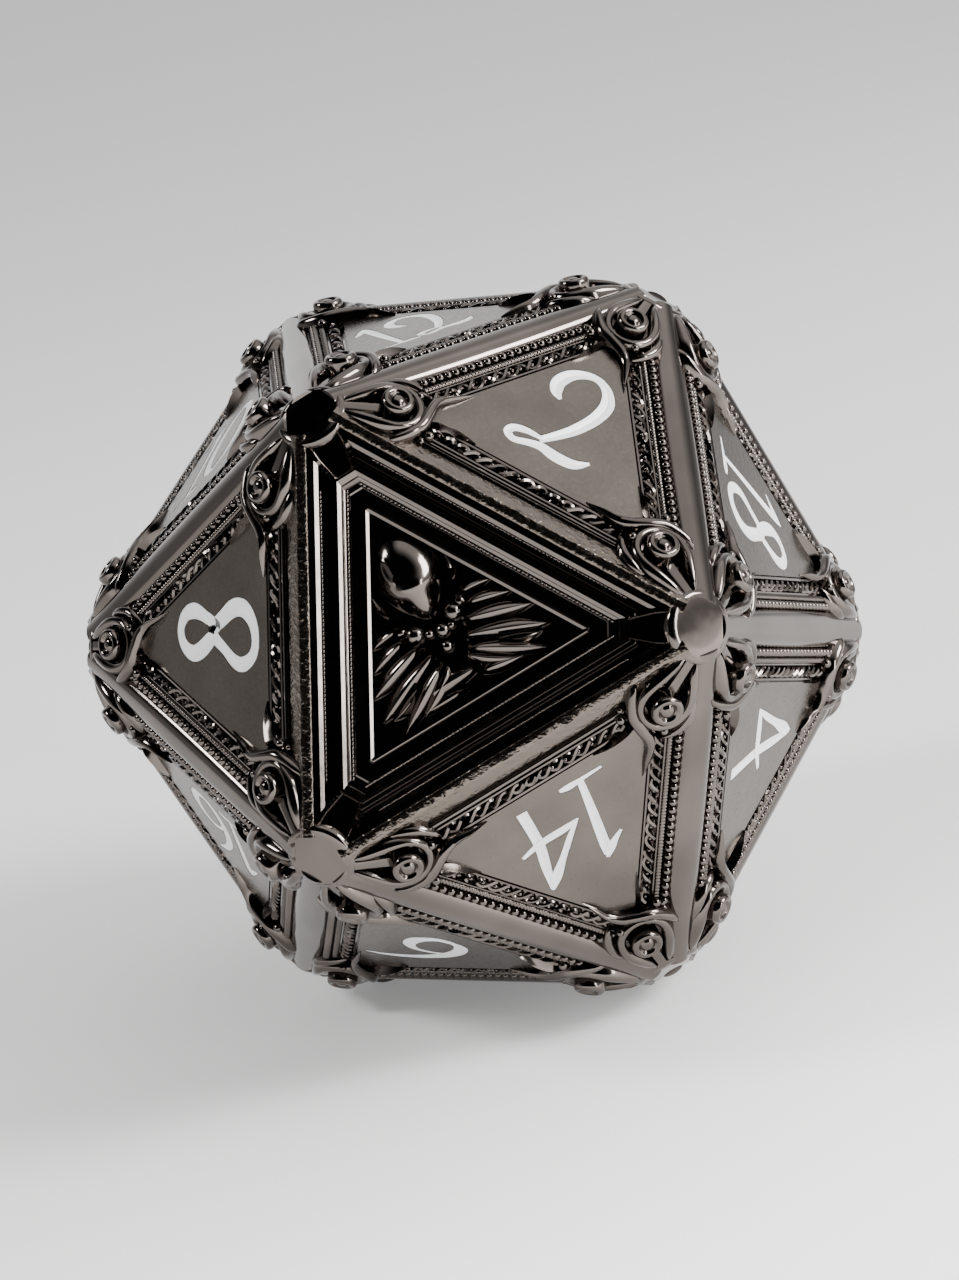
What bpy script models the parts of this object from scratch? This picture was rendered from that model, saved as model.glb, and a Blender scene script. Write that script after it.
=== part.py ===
"""Ornate twenty-sided die: a solid cast body with engraved digits, each filled with its own enamel.

The die stands on its 9 face with the 12 face on top. Its framed relief, the 20 face, looks towards -Y.
"""

import math

import bmesh
import bpy
from mathutils import Matrix, Vector

MM = 0.001

# Driving dimensions
ACROSS_RIDGES = 43.66 * MM     # between the planes through the ridge crests of two opposite faces
PAD_DISTANCE = 26.2 * MM       # from the die's centre to the middle of a corner pad
PAD_RADIUS = 2.3 * MM          # round pad where five ridges meet
PAD_EDGE = 0.35 * MM           # rounding of the pad's rim
BUTTON_RADIUS = 1.0 * MM       # round button in each face corner
BUTTON_RISE = 1.40 * MM        # button top above the ridge crests: the die rests on three of them
BUTTON_REACH = 10.78 * MM      # button axis from the face's axis
COLLAR_RADIUS = 1.9 * MM       # raised collar round a button
COLLAR_RISE = 0.35 * MM        # collar top, against the ridge crests
PLATE_RISE = 0.12 * MM         # plate above the plane through the ridge crests
ENAMEL_DEPTH = 0.42 * MM       # thickness of a digit's enamel
ENAMEL_GAP = 0.04 * MM         # clearance all round a filling, so that touching meshes stay apart
STROKE_STEPS = 1               # straight pieces between two points of a stroke
PAD_BASE = 1.4 * MM             # how far a pad reaches into the body
COLLAR_BASE = 1.6 * MM          # how far a collar reaches into the body
CREST_SINK = 0.05 * MM          # ridge ends below the pad's rim
PAD_SIDES = 12
BUTTON_SIDES = 6

# Proportions of a regular icosahedron whose corners lie at distance 1
GOLDEN = (1 + math.sqrt(5)) / 2
INRADIUS = math.sqrt((5 + 2 * math.sqrt(5)) / 15)       # face plane from the centre
FACE_REACH = math.sqrt(1 - INRADIUS ** 2)               # corner from the face's axis
WAIST_RADIUS = FACE_REACH * GOLDEN                      # the six middle corners, from the vertical axis
WAIST_HEIGHT = math.sqrt(1 - WAIST_RADIUS ** 2)         # and from the horizontal mid-plane

CREST_PLANE = ACROSS_RIDGES / 2
CORNER_DISTANCE = CREST_PLANE / INRADIUS                # where the crest lines would meet
CORNER_REACH = CORNER_DISTANCE * FACE_REACH
CENTRE_HEIGHT = CREST_PLANE + BUTTON_RISE

# The 20 face looks along -Y: this turns its top corner to the left of that line
TURN = math.radians(-90) - math.atan2(
    WAIST_RADIUS * math.sin(math.radians(60)),
    FACE_REACH + WAIST_RADIUS + WAIST_RADIUS * math.cos(math.radians(60)),
)

# Number on each face, and its corners: the numeral's top points at the first one
FACES = {
    1: ("bot1", "low2", "up1"),
    2: ("top1", "top0", "up0"),
    3: ("up2", "low2", "bot2"),
    4: ("low1", "up0", "bot0"),
    5: ("top1", "up1", "low1"),
    6: ("bot2", "low0", "bot0"),
    7: ("top2", "low2", "up1"),
    8: ("up2", "top0", "low0"),
    9: ("bot0", "bot1", "bot2"),
    10: ("top2", "top0", "up2"),
    11: ("bot0", "bot1", "low1"),
    12: ("top2", "top0", "top1"),
    13: ("low1", "bot1", "up1"),
    14: ("bot0", "up0", "low0"),
    15: ("top1", "up1", "top2"),
    16: ("bot2", "low0", "up2"),
    17: ("up2", "low2", "top2"),
    18: ("low1", "up0", "top1"),
    19: ("bot2", "bot1", "low2"),
    20: ("top0", "up0", "low0"),
}
RELIEF_FACE = 20

# Middle, baseline and digit height of each number, in millimetres from the face's axis
SINGLE_PLACE = (-0.2, -3.2, 8.5)
PAIR_PLACE = (-0.2, -3.5, 6.9)
OTHER_PLACES = {
    2: (-0.25, -2.85, 8.6), 4: (-1.0, -4.0, 8.6), 6: (0.0, -2.9, 8.0), 8: (0.25, -3.8, 8.4),
    10: (-0.4, -2.9, 7.1), 12: (-0.4, -2.6, 7.0), 14: (-0.3, -3.6, 7.1), 16: (-0.5, -3.4, 7.0),
    18: (-0.45, -3.5, 7.5),
}
PAIR_GAPS = {11: 0.05}         # between two digits, in digit heights, where their boxes may not touch

# Steps from the ridge crest to the plate. Each is (inset, rise) at mid-edge, then (inset, rise, cut)
# at the ends: inset from the crest line, rise against the crest plane, cut back from the corner.
NUMBER_STEPS = [
    ((0.65, 0.14), (0.45, -0.40, 3.3)),     # ridge shoulder
    ((1.20, -0.06), (0.95, -0.55, 3.5)),    # ridge flank
    ((1.32, -0.50), (1.05, -0.80, 3.7)),    # ridge foot
    ((1.45, -0.12), (1.45, -0.30, 4.6)),    # ledge of the pearls and the rod
    ((2.45, -0.12), (2.45, -0.12, 6.8)),
    ((2.55, -0.32), (2.55, -0.32, 7.0)),    # ledge of the links
    ((3.50, -0.32), (3.50, -0.32, 8.2)),
]
RELIEF_STEPS = [
    ((0.10, -0.24), (0.10, -0.45, 3.2)),    # sharp outer edge
    ((0.90, -0.60), (0.80, -0.75, 4.0)),    # outer cove
    ((1.95, -0.40), (1.90, -0.55, 5.4)),    # flat
    ((2.20, -0.35), (2.15, -0.50, 5.7)),    # fillet
    ((2.55, -0.65), (2.50, -0.70, 6.1)),    # groove
    ((3.85, -1.05), (3.85, -1.05, 7.9)),    # broad bevel
]
PLATE_STEP = (3.65, PLATE_RISE / MM, 8.4)
RELIEF_FLOOR = (4.02, -1.40, 8.3)

# Masses of the relief, in millimetres on the face: x, y, half length, half width, half height, and the
# angle of the length from X. The blades are mirrored to both sides.
SKULL = (0.05, 4.0, 1.95, 2.95, 1.25, 0)
JAW = (-0.1, 0.55, 1.6, 0.75, 0.85, 0)
BLADES = [(3.3, -0.9, 2.2, 0.7, 0.75, -14), (2.7, -2.7, 1.7, 0.7, 0.7, -38)]

# Strokes of the digits: (x, y, width) along the pen's way, in digit heights, baseline at 0
STROKES = {
    "0": [[(0.33, 0.97, 0.065), (0.17, 0.85, 0.11), (0.075, 0.60, 0.13), (0.06, 0.36, 0.13),
           (0.12, 0.13, 0.10), (0.26, 0.03, 0.065), (0.42, 0.15, 0.11), (0.52, 0.40, 0.13),
           (0.535, 0.64, 0.13), (0.47, 0.87, 0.10), "closed"]],
    "1": [[(0.17, 0.775, 0.02), (0.25, 0.83, 0.05), (0.34, 0.90, 0.085), (0.41, 0.985, 0.03)],
          [(0.385, 0.95, 0.075), (0.36, 0.80, 0.09), (0.29, 0.42, 0.078), (0.226, 0.04, 0.055)],
          [(0.0, 0.022, 0.018), (0.20, 0.028, 0.038), (0.34, 0.032, 0.062), (0.43, 0.022, 0.03)]],
    "2": [[(0.235, 0.605, 0.02), (0.175, 0.66, 0.085), (0.15, 0.76, 0.105), (0.20, 0.88, 0.095),
           (0.30, 0.955, 0.07), (0.40, 0.965, 0.062), (0.495, 0.90, 0.08), (0.55, 0.77, 0.105),
           (0.53, 0.60, 0.10), (0.46, 0.42, 0.09), (0.375, 0.28, 0.075), (0.27, 0.14, 0.055)],
          [(0.285, 0.165, 0.03), (0.16, 0.165, 0.055), (0.065, 0.13, 0.065), (0.045, 0.07, 0.06),
           (0.11, 0.03, 0.055), (0.21, 0.065, 0.06), (0.31, 0.09, 0.075), (0.44, 0.07, 0.095),
           (0.58, 0.085, 0.085), (0.68, 0.17, 0.02)]],
    "3": [[(0.09, 0.80, 0.02), (0.13, 0.90, 0.075), (0.27, 0.965, 0.062), (0.42, 0.90, 0.10),
           (0.45, 0.76, 0.11), (0.36, 0.61, 0.075), (0.20, 0.53, 0.035)],
          [(0.22, 0.545, 0.035), (0.38, 0.52, 0.075), (0.49, 0.39, 0.12), (0.485, 0.20, 0.125),
           (0.36, 0.065, 0.09), (0.19, 0.035, 0.07), (0.07, 0.12, 0.09), (0.06, 0.21, 0.02)]],
    "4": [[(0.552, 0.985, 0.02), (0.46, 0.87, 0.095), (0.31, 0.71, 0.06), (0.138, 0.524, 0.05),
           (0.0, 0.395, 0.012)],
          [(0.55, 0.97, 0.03), (0.48, 0.69, 0.085), (0.415, 0.41, 0.09), (0.385, 0.01, 0.098)],
          [(0.01, 0.40, 0.012), (0.15, 0.425, 0.07), (0.40, 0.43, 0.065), (0.61, 0.478, 0.03)]],
    "5": [[(0.13, 0.93, 0.05), (0.30, 0.945, 0.075), (0.51, 0.985, 0.02)],
          [(0.165, 0.955, 0.05), (0.12, 0.62, 0.052)],
          [(0.105, 0.60, 0.03), (0.25, 0.655, 0.06), (0.42, 0.575, 0.10), (0.495, 0.39, 0.125),
           (0.44, 0.18, 0.12), (0.30, 0.055, 0.085), (0.13, 0.04, 0.07), (0.03, 0.13, 0.03)]],
    "6": [[(0.52, 0.985, 0.02), (0.36, 0.90, 0.065), (0.20, 0.72, 0.09), (0.095, 0.48, 0.115),
           (0.085, 0.25, 0.12), (0.17, 0.085, 0.10), (0.32, 0.035, 0.04)],
          [(0.19, 0.07, 0.03), (0.31, 0.045, 0.08), (0.43, 0.09, 0.10), (0.50, 0.25, 0.125),
           (0.455, 0.42, 0.10), (0.34, 0.495, 0.07), (0.20, 0.46, 0.05), (0.10, 0.37, 0.03)]],
    "7": [[(0.03, 0.83, 0.02), (0.08, 0.915, 0.085), (0.28, 0.92, 0.07), (0.53, 0.965, 0.04)],
          [(0.52, 0.975, 0.03), (0.39, 0.70, 0.075), (0.28, 0.40, 0.10), (0.22, 0.01, 0.11)]],
    "8": [[(0.34, 0.515, 0.09), (0.22, 0.64, 0.13), (0.155, 0.79, 0.125), (0.215, 0.915, 0.09),
           (0.335, 0.96, 0.078), (0.445, 0.905, 0.10), (0.48, 0.79, 0.12), (0.43, 0.65, 0.09), "closed"],
          [(0.31, 0.56, 0.10), (0.17, 0.41, 0.08), (0.075, 0.285, 0.10), (0.06, 0.18, 0.11),
           (0.125, 0.075, 0.09), (0.24, 0.042, 0.083), (0.37, 0.075, 0.10), (0.47, 0.17, 0.13),
           (0.485, 0.29, 0.138), (0.42, 0.42, 0.125), "closed"]],
}
DIGIT_WIDTH = {"0": 0.60, "1": 0.43, "2": 0.68, "3": 0.55, "4": 0.61, "5": 0.54, "6": 0.57, "7": 0.55,
               "8": 0.555, "9": 0.57}

PLATED_ZINC = ("black_nickel_zinc", (0.30, 0.285, 0.27), 1.0, 0.16)
WHITE_ENAMEL = ("white_enamel", (0.90, 0.91, 0.92), 0.0, 0.35)


def clear_scene():
    for item in list(bpy.data.objects):
        bpy.data.objects.remove(item, do_unlink=True)


def make_material(recipe):
    name, colour, metallic, roughness = recipe
    material = bpy.data.materials.new(name)
    material.use_nodes = True
    shader = material.node_tree.nodes["Principled BSDF"]
    shader.inputs["Base Color"].default_value = (*colour, 1.0)
    shader.inputs["Metallic"].default_value = metallic
    shader.inputs["Roughness"].default_value = roughness
    return material


def corner_directions():
    """Unit vectors from the die's centre to its twelve corners, by name."""
    corners = {}
    for index in range(3):
        angle = TURN + math.radians(120 * index)
        shifted = angle + math.radians(60)
        corners[f"top{index}"] = polar(FACE_REACH, angle, INRADIUS)
        corners[f"low{index}"] = polar(WAIST_RADIUS, angle, -WAIST_HEIGHT)
        corners[f"up{index}"] = polar(WAIST_RADIUS, shifted, WAIST_HEIGHT)
        corners[f"bot{index}"] = polar(FACE_REACH, shifted, -INRADIUS)
    return corners


def polar(radius, angle, height):
    return Vector((radius * math.cos(angle), radius * math.sin(angle), height))


def face_matrix(names, corners):
    """Frame of a face: X right and Y up as its numeral is read, Z outwards, origin on the crest plane."""
    tips = [corners[name] for name in names]
    normal = sum(tips, Vector()).normalized()
    up = (tips[0] - normal * tips[0].dot(normal)).normalized()
    right = up.cross(normal)
    frame = Matrix((right, up, normal)).transposed().to_4x4()
    frame.translation = normal * CREST_PLANE
    return frame


def new_object(name, mesh_data, material=None):
    mesh = bpy.data.meshes.new(name)
    mesh_data.to_mesh(mesh)
    mesh_data.free()
    if material:
        mesh.materials.append(material)
    item = bpy.data.objects.new(name, mesh)
    bpy.context.scene.collection.objects.link(item)
    return item


def boolean(target, tool, operation):
    """Apply one exact Boolean to the target and remove the tool."""
    modifier = target.modifiers.new(operation.lower(), "BOOLEAN")
    modifier.operation = operation
    modifier.solver = "EXACT"
    modifier.object = tool
    depsgraph = bpy.context.evaluated_depsgraph_get()
    result = bpy.data.meshes.new_from_object(target.evaluated_get(depsgraph))
    target.modifiers.clear()
    target.data = result
    bpy.data.objects.remove(tool, do_unlink=True)


def ring(step):
    """Nine points of one step round a face, in the face's frame: two ends and a middle for each side."""
    (mid_inset, mid_rise), (end_inset, end_rise, cut) = step
    side_distance = CORNER_REACH / 2
    points = []
    for corner in range(3):
        outward = Matrix.Rotation(math.radians(90 - 120 * corner), 3, "Z") @ Vector((1, 0, 0))
        sideways = Vector((outward.y, -outward.x, 0))
        along = CORNER_REACH - cut * MM
        spread = cut * MM * math.tan(math.radians(30)) - end_inset * MM / math.cos(math.radians(30))
        lift = Vector((0, 0, end_rise * MM))
        points.append(outward * along - sideways * spread + lift)
        points.append(outward * along + sideways * spread + lift)
        middle = Matrix.Rotation(math.radians(30 - 120 * corner), 3, "Z") @ Vector((1, 0, 0))
        points.append(middle * (side_distance - mid_inset * MM) + Vector((0, 0, mid_rise * MM)))
    return points


def crest_ring(names, corners):
    """The outermost nine points, on the crest lines that the face shares with its neighbours."""
    points = []
    order = names if is_clockwise(names, corners) else (names[0], names[2], names[1])
    for index in range(3):
        tip = corners[order[index]]
        before = corners[order[index - 1]]
        after = corners[order[(index + 1) % 3]]
        points.append(crest_end(tip, before))
        points.append(crest_end(tip, after))
        points.append((tip + after) / 2 * CORNER_DISTANCE)
    return points


def is_clockwise(names, corners):
    first, second, third = (corners[name] for name in names)
    return (second - first).cross(third - first).dot(first + second + third) < 0


def crest_end(tip, other):
    """Where a ridge runs into a corner pad."""
    direction = (other - tip * other.dot(tip)).normalized()
    return tip * (PAD_DISTANCE - PAD_EDGE - CREST_SINK) + direction * PAD_RADIUS * 0.92


def build_shell(corners):
    """The die's skin: steps round every face, plates, and the ground under the pads."""
    skin = bmesh.new()
    for number, names in FACES.items():
        frame = face_matrix(names, corners)
        steps = list(RELIEF_STEPS if number == RELIEF_FACE else NUMBER_STEPS)
        last = RELIEF_FLOOR if number == RELIEF_FACE else PLATE_STEP
        steps.append((last[:2], last))
        rings = [crest_ring(names, corners)]
        rings += [[frame @ point for point in ring(step)] for step in steps]
        rows = [[skin.verts.new(point) for point in points] for points in rings]
        for outer, inner in zip(rows, rows[1:]):
            for index in range(9):
                following = (index + 1) % 9
                skin.faces.new((outer[following], outer[index], inner[index], inner[following]))
        skin.faces.new(reversed(rows[-1]))
    bmesh.ops.remove_doubles(skin, verts=skin.verts, dist=0.001 * MM)
    holes = bmesh.ops.holes_fill(skin, edges=[edge for edge in skin.edges if edge.is_boundary], sides=0)
    bmesh.ops.poke(skin, faces=holes["faces"])
    bmesh.ops.recalc_face_normals(skin, faces=skin.faces)
    bmesh.ops.triangulate(skin, faces=skin.faces)
    return skin


def turned(mesh_data, frame, profile, sides):
    """Add a closed solid of revolution about a frame's Z, from (radius, height) points, bottom to top."""
    rows = []
    for radius, height in profile:
        row = []
        for index in range(sides):
            angle = 2 * math.pi * index / sides
            row.append(mesh_data.verts.new(frame @ polar(radius, angle, height)))
        rows.append(row)
    for lower, upper in zip(rows, rows[1:]):
        for index in range(sides):
            following = (index + 1) % sides
            mesh_data.faces.new((lower[index], lower[following], upper[following], upper[index]))
    mesh_data.faces.new(reversed(rows[0]))
    mesh_data.faces.new(rows[-1])


def build_bosses(corners):
    """Corner pads, and the buttons and collars in the corners of the numbered faces."""
    bosses = bmesh.new()
    pad_profile = [
        (PAD_RADIUS, PAD_DISTANCE - PAD_BASE),
        (PAD_RADIUS, PAD_DISTANCE - PAD_EDGE),
        (PAD_RADIUS - PAD_EDGE, PAD_DISTANCE),
    ]
    for tip in corners.values():
        turned(bosses, tip.to_track_quat("Z", "Y").to_matrix().to_4x4(), pad_profile, PAD_SIDES)
    button_profile = [
        (COLLAR_RADIUS, -COLLAR_BASE),
        (COLLAR_RADIUS, COLLAR_RISE),
        (BUTTON_RADIUS, BUTTON_RISE),
    ]
    for number, names in FACES.items():
        if number == RELIEF_FACE:
            continue
        frame = face_matrix(names, corners)
        for index in range(3):
            turn = Matrix.Rotation(math.radians(120 * index), 4, "Z")
            place = frame @ turn @ Matrix.Translation((0, BUTTON_REACH, 0))
            turned(bosses, place, button_profile, BUTTON_SIDES)
    return bosses


def build_keys(frame):
    """Flat tapered keys from the pads into the corners of the relief's frame."""
    keys = bmesh.new()
    near, far = 13.6 * MM, 11.0 * MM
    near_half, far_half = 1.0 * MM, 0.62 * MM
    top, bottom = -0.28 * MM, -2.4 * MM
    for index in range(3):
        turn = frame @ Matrix.Rotation(math.radians(120 * index), 4, "Z")
        outline = [(-near_half, near), (-far_half, far), (far_half, far), (near_half, near)]
        upper = [keys.verts.new(turn @ Vector((x, y, top))) for x, y in outline]
        lower = [keys.verts.new(turn @ Vector((x, y, bottom))) for x, y in outline]
        keys.faces.new(upper)
        keys.faces.new(reversed(lower))
        for index_a in range(4):
            index_b = (index_a + 1) % 4
            keys.faces.new((upper[index_b], upper[index_a], lower[index_a], lower[index_b]))
    return keys


def build_relief_lumps(frame):
    """The relief's main masses: a domed skull, its jaw, and a spray of two blades on each side."""
    floor = RELIEF_FLOOR[1] * MM
    lumps = [SKULL, JAW]
    for side in (-1, 1):
        for x, y, half_length, half_width, half_height, angle in BLADES:
            lumps.append((side * x, y, half_length, half_width, half_height, side * angle))
    shapes = []
    for x, y, half_length, half_width, half_height, angle in lumps:
        shape = bmesh.new()
        bmesh.ops.create_uvsphere(shape, u_segments=12, v_segments=8, radius=1.0)
        size = Matrix.Diagonal((half_length * MM, half_width * MM, half_height * MM, 1))
        place = Matrix.Translation((x * MM, y * MM, floor + 0.1 * MM))
        turn = Matrix.Rotation(math.radians(angle), 4, "Z")
        bmesh.ops.transform(shape, matrix=frame @ place @ turn @ size, verts=shape.verts)
        shapes.append(shape)
    return shapes


def smooth_line(points, closed):
    """Catmull-Rom points through a stroke's (x, y, width) points."""
    count = len(points)
    spans = count if closed else count - 1
    result = []
    for index in range(spans):
        window = [points[(index + offset) % count] if closed
                  else points[min(max(index + offset, 0), count - 1)] for offset in (-1, 0, 1, 2)]
        before, start, end, after = (Vector(point) for point in window)
        for step in range(STROKE_STEPS):
            t = step / STROKE_STEPS
            result.append(0.5 * (2 * start + (end - before) * t
                                 + (2 * before - 5 * start + 4 * end - after) * t ** 2
                                 + (3 * start - before - 3 * end + after) * t ** 3))
    if not closed:
        result.append(Vector(points[-1]))
    return result


def stroke_solid(stroke, height, grow, top, bottom):
    """A closed ribbon of varying width, widened by grow, between two levels."""
    closed = stroke[-1] == "closed"
    line = smooth_line(stroke[:-1] if closed else stroke, closed)
    count = len(line)
    sides = []
    for index, (x, y, width) in enumerate(line):
        before = line[index - 1] if closed or index else line[0]
        after = line[(index + 1) % count] if closed or index < count - 1 else line[-1]
        run = Vector((after.x - before.x, after.y - before.y)).normalized()
        across = Vector((-run.y, run.x)) * (width * height / 2 + grow)
        spine = Vector((x, y)) * height
        if not closed and index == 0:
            spine -= run * grow
        if not closed and index == count - 1:
            spine += run * grow
        sides.append((spine + across, spine - across))
    solid = bmesh.new()
    rows = []
    for left, right in sides:
        rows.append([solid.verts.new((*point, level)) for level in (top, bottom) for point in (left, right)])
    pairs = list(zip(rows, rows[1:]))
    if closed:
        pairs.append((rows[-1], rows[0]))
    for first, second in pairs:
        for a, b in ((0, 1), (1, 3), (3, 2), (2, 0)):
            solid.faces.new((first[a], first[b], second[b], second[a]))
    if not closed:
        for row in (rows[0], rows[-1]):
            solid.faces.new((row[0], row[1], row[3], row[2]))
    bmesh.ops.recalc_face_normals(solid, faces=solid.faces)
    return solid


def digit_strokes(digit):
    """A digit's strokes: the 9 is the 6 turned upside down."""
    if digit != "9":
        return STROKES[digit]
    return [[(DIGIT_WIDTH["6"] - x, 1 - y, width) for x, y, width in stroke] for stroke in STROKES["6"]]


def digit_object(name, digit, height, grow, top, bottom, material=None):
    """One digit as a single closed solid: its strokes united."""
    strokes = digit_strokes(digit)
    solid = new_object(name, stroke_solid(strokes[0], height, grow, top, bottom), material)
    for stroke in strokes[1:]:
        tool = new_object("stroke", stroke_solid(stroke, height, grow, top, bottom), material)
        boolean(solid, tool, "UNION")
    return solid


def digit_places(number):
    """Each digit of a number with its node name, height and place in the face's frame."""
    text = str(number)
    usual = SINGLE_PLACE if len(text) == 1 else PAIR_PLACE
    middle, baseline, height = (value * MM for value in OTHER_PLACES.get(number, usual))
    if len(text) == 1:
        return [(f"enamel_{number}", text, height, middle - DIGIT_WIDTH[text] * height / 2, baseline)]
    gap = PAIR_GAPS.get(number, 0.0)
    tens, units = (DIGIT_WIDTH[digit] for digit in text)
    tens_start = middle - (tens + gap + units) * height / 2
    units_start = tens_start + (tens + gap) * height
    return [
        (f"enamel_{number}_tens", text[0], height, tens_start, baseline),
        (f"enamel_{number}_units", text[1], height, units_start, baseline),
    ]


def engrave_and_fill(body, corners, enamel):
    """Cut every digit's pocket out of its plate and lay its filling in it."""
    pocket_floor = -ENAMEL_DEPTH - 2 * ENAMEL_GAP
    pockets = bmesh.new()
    for number, names in FACES.items():
        if number == RELIEF_FACE:
            continue
        frame = face_matrix(names, corners)
        for name, digit, height, x, y in digit_places(number):
            place = frame @ Matrix.Translation((x, y, PLATE_RISE))
            pocket = digit_object("pocket", digit, height, ENAMEL_GAP, 0.4 * MM, pocket_floor)
            pocket.data.transform(place)
            pockets.from_mesh(pocket.data)
            bpy.data.objects.remove(pocket, do_unlink=True)
            filling = digit_object(name, digit, height, 0.0, -ENAMEL_GAP, -ENAMEL_GAP - ENAMEL_DEPTH, enamel)
            filling.matrix_world = Matrix.Translation((0, 0, CENTRE_HEIGHT)) @ place
            filling.data.set_sharp_from_angle(angle=math.radians(30))
    boolean(body, new_object("pockets", pockets), "DIFFERENCE")


def build_die():
    metal = make_material(PLATED_ZINC)
    enamel = make_material(WHITE_ENAMEL)
    corners = corner_directions()
    relief_frame = face_matrix(FACES[RELIEF_FACE], corners)
    body = new_object("die_body", build_shell(corners), metal)
    boolean(body, new_object("bosses", build_bosses(corners)), "UNION")
    boolean(body, new_object("keys", build_keys(relief_frame)), "UNION")
    for lump in build_relief_lumps(relief_frame):
        boolean(body, new_object("lump", lump), "UNION")
    engrave_and_fill(body, corners, enamel)
    body.location = (0, 0, CENTRE_HEIGHT)
    body.data.shade_smooth()
    body.data.set_sharp_from_angle(angle=math.radians(30))


clear_scene()
build_die()
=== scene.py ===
"""Looks of the ornate metal twenty-sided die: a black-nickel zinc casting with white enamel in its digits."""

import math

import bmesh
import bpy
from mathutils import Matrix, Vector, noise


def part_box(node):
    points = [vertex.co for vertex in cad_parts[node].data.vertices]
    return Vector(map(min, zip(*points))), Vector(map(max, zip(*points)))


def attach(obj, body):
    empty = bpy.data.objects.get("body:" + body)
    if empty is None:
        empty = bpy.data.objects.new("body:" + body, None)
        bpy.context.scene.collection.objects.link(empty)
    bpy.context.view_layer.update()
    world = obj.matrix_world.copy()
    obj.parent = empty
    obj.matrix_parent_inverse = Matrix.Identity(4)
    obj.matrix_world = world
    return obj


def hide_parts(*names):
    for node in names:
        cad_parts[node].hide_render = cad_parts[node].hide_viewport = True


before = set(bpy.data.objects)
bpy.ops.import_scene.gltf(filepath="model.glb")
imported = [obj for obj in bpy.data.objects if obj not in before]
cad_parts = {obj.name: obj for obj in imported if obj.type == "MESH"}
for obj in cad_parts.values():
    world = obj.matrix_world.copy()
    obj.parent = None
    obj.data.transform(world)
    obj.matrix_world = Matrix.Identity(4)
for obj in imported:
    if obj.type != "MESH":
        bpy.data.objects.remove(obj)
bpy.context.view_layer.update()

bl_info = {
    "name": "Ornate Twenty-Sided Die",
    "version": (1, 0, 0),
    "blender": (4, 5, 0),
    "location": "View3D > Sidebar > Die",
    "description": "Builds a cast, plated and enamelled twenty-sided die around its solid frame",
    "category": "Object",
}

MM = 0.001
BODY = "root"
CASTING = "die_body"

# ---------------------------------------------------------------- sizes taken from the frame
LOW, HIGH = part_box(CASTING)
CENTRE = Vector((0, 0, (LOW.z + HIGH.z) / 2))
BUTTON_RISE = 1.40 * MM                          # button tops stand this far above the crest plane
CREST_PLANE = (HIGH.z - LOW.z) / 2 - BUTTON_RISE

# Proportions of a regular icosahedron whose corners lie at distance 1
GOLDEN = (1 + math.sqrt(5)) / 2
INRADIUS = math.sqrt((5 + 2 * math.sqrt(5)) / 15)
FACE_REACH = math.sqrt(1 - INRADIUS ** 2)
WAIST_RADIUS = FACE_REACH * GOLDEN
WAIST_HEIGHT = math.sqrt(1 - WAIST_RADIUS ** 2)
CORNER_DISTANCE = CREST_PLANE / INRADIUS         # where the crest lines would meet
CORNER_REACH = CORNER_DISTANCE * FACE_REACH      # that point from the face's axis
SIDE_HALF = CORNER_REACH * math.cos(math.radians(30))
PAD_DISTANCE = 26.2 * MM
PAD_RADIUS = 2.3 * MM
BUTTON_REACH = 10.78 * MM                        # button axis from the face's axis
PLATE_RISE = 0.12 * MM

TURN = math.radians(-90) - math.atan2(
    WAIST_RADIUS * math.sin(math.radians(60)),
    FACE_REACH + WAIST_RADIUS + WAIST_RADIUS * math.cos(math.radians(60)),
)

# Number on each face and its corners: the numeral's top points at the first one
FACES = {
    1: ("bot1", "low2", "up1"), 2: ("top1", "top0", "up0"), 3: ("up2", "low2", "bot2"),
    4: ("low1", "up0", "bot0"), 5: ("top1", "up1", "low1"), 6: ("bot2", "low0", "bot0"),
    7: ("top2", "low2", "up1"), 8: ("up2", "top0", "low0"), 9: ("bot0", "bot1", "bot2"),
    10: ("top2", "top0", "up2"), 11: ("bot0", "bot1", "low1"), 12: ("top2", "top0", "top1"),
    13: ("low1", "bot1", "up1"), 14: ("bot0", "up0", "low0"), 15: ("top1", "up1", "top2"),
    16: ("bot2", "low0", "up2"), 17: ("up2", "low2", "top2"), 18: ("low1", "up0", "top1"),
    19: ("bot2", "bot1", "low2"), 20: ("top0", "up0", "low0"),
}
RELIEF_FACE = 20
NUMBERED = [number for number in FACES if number != RELIEF_FACE]

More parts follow.
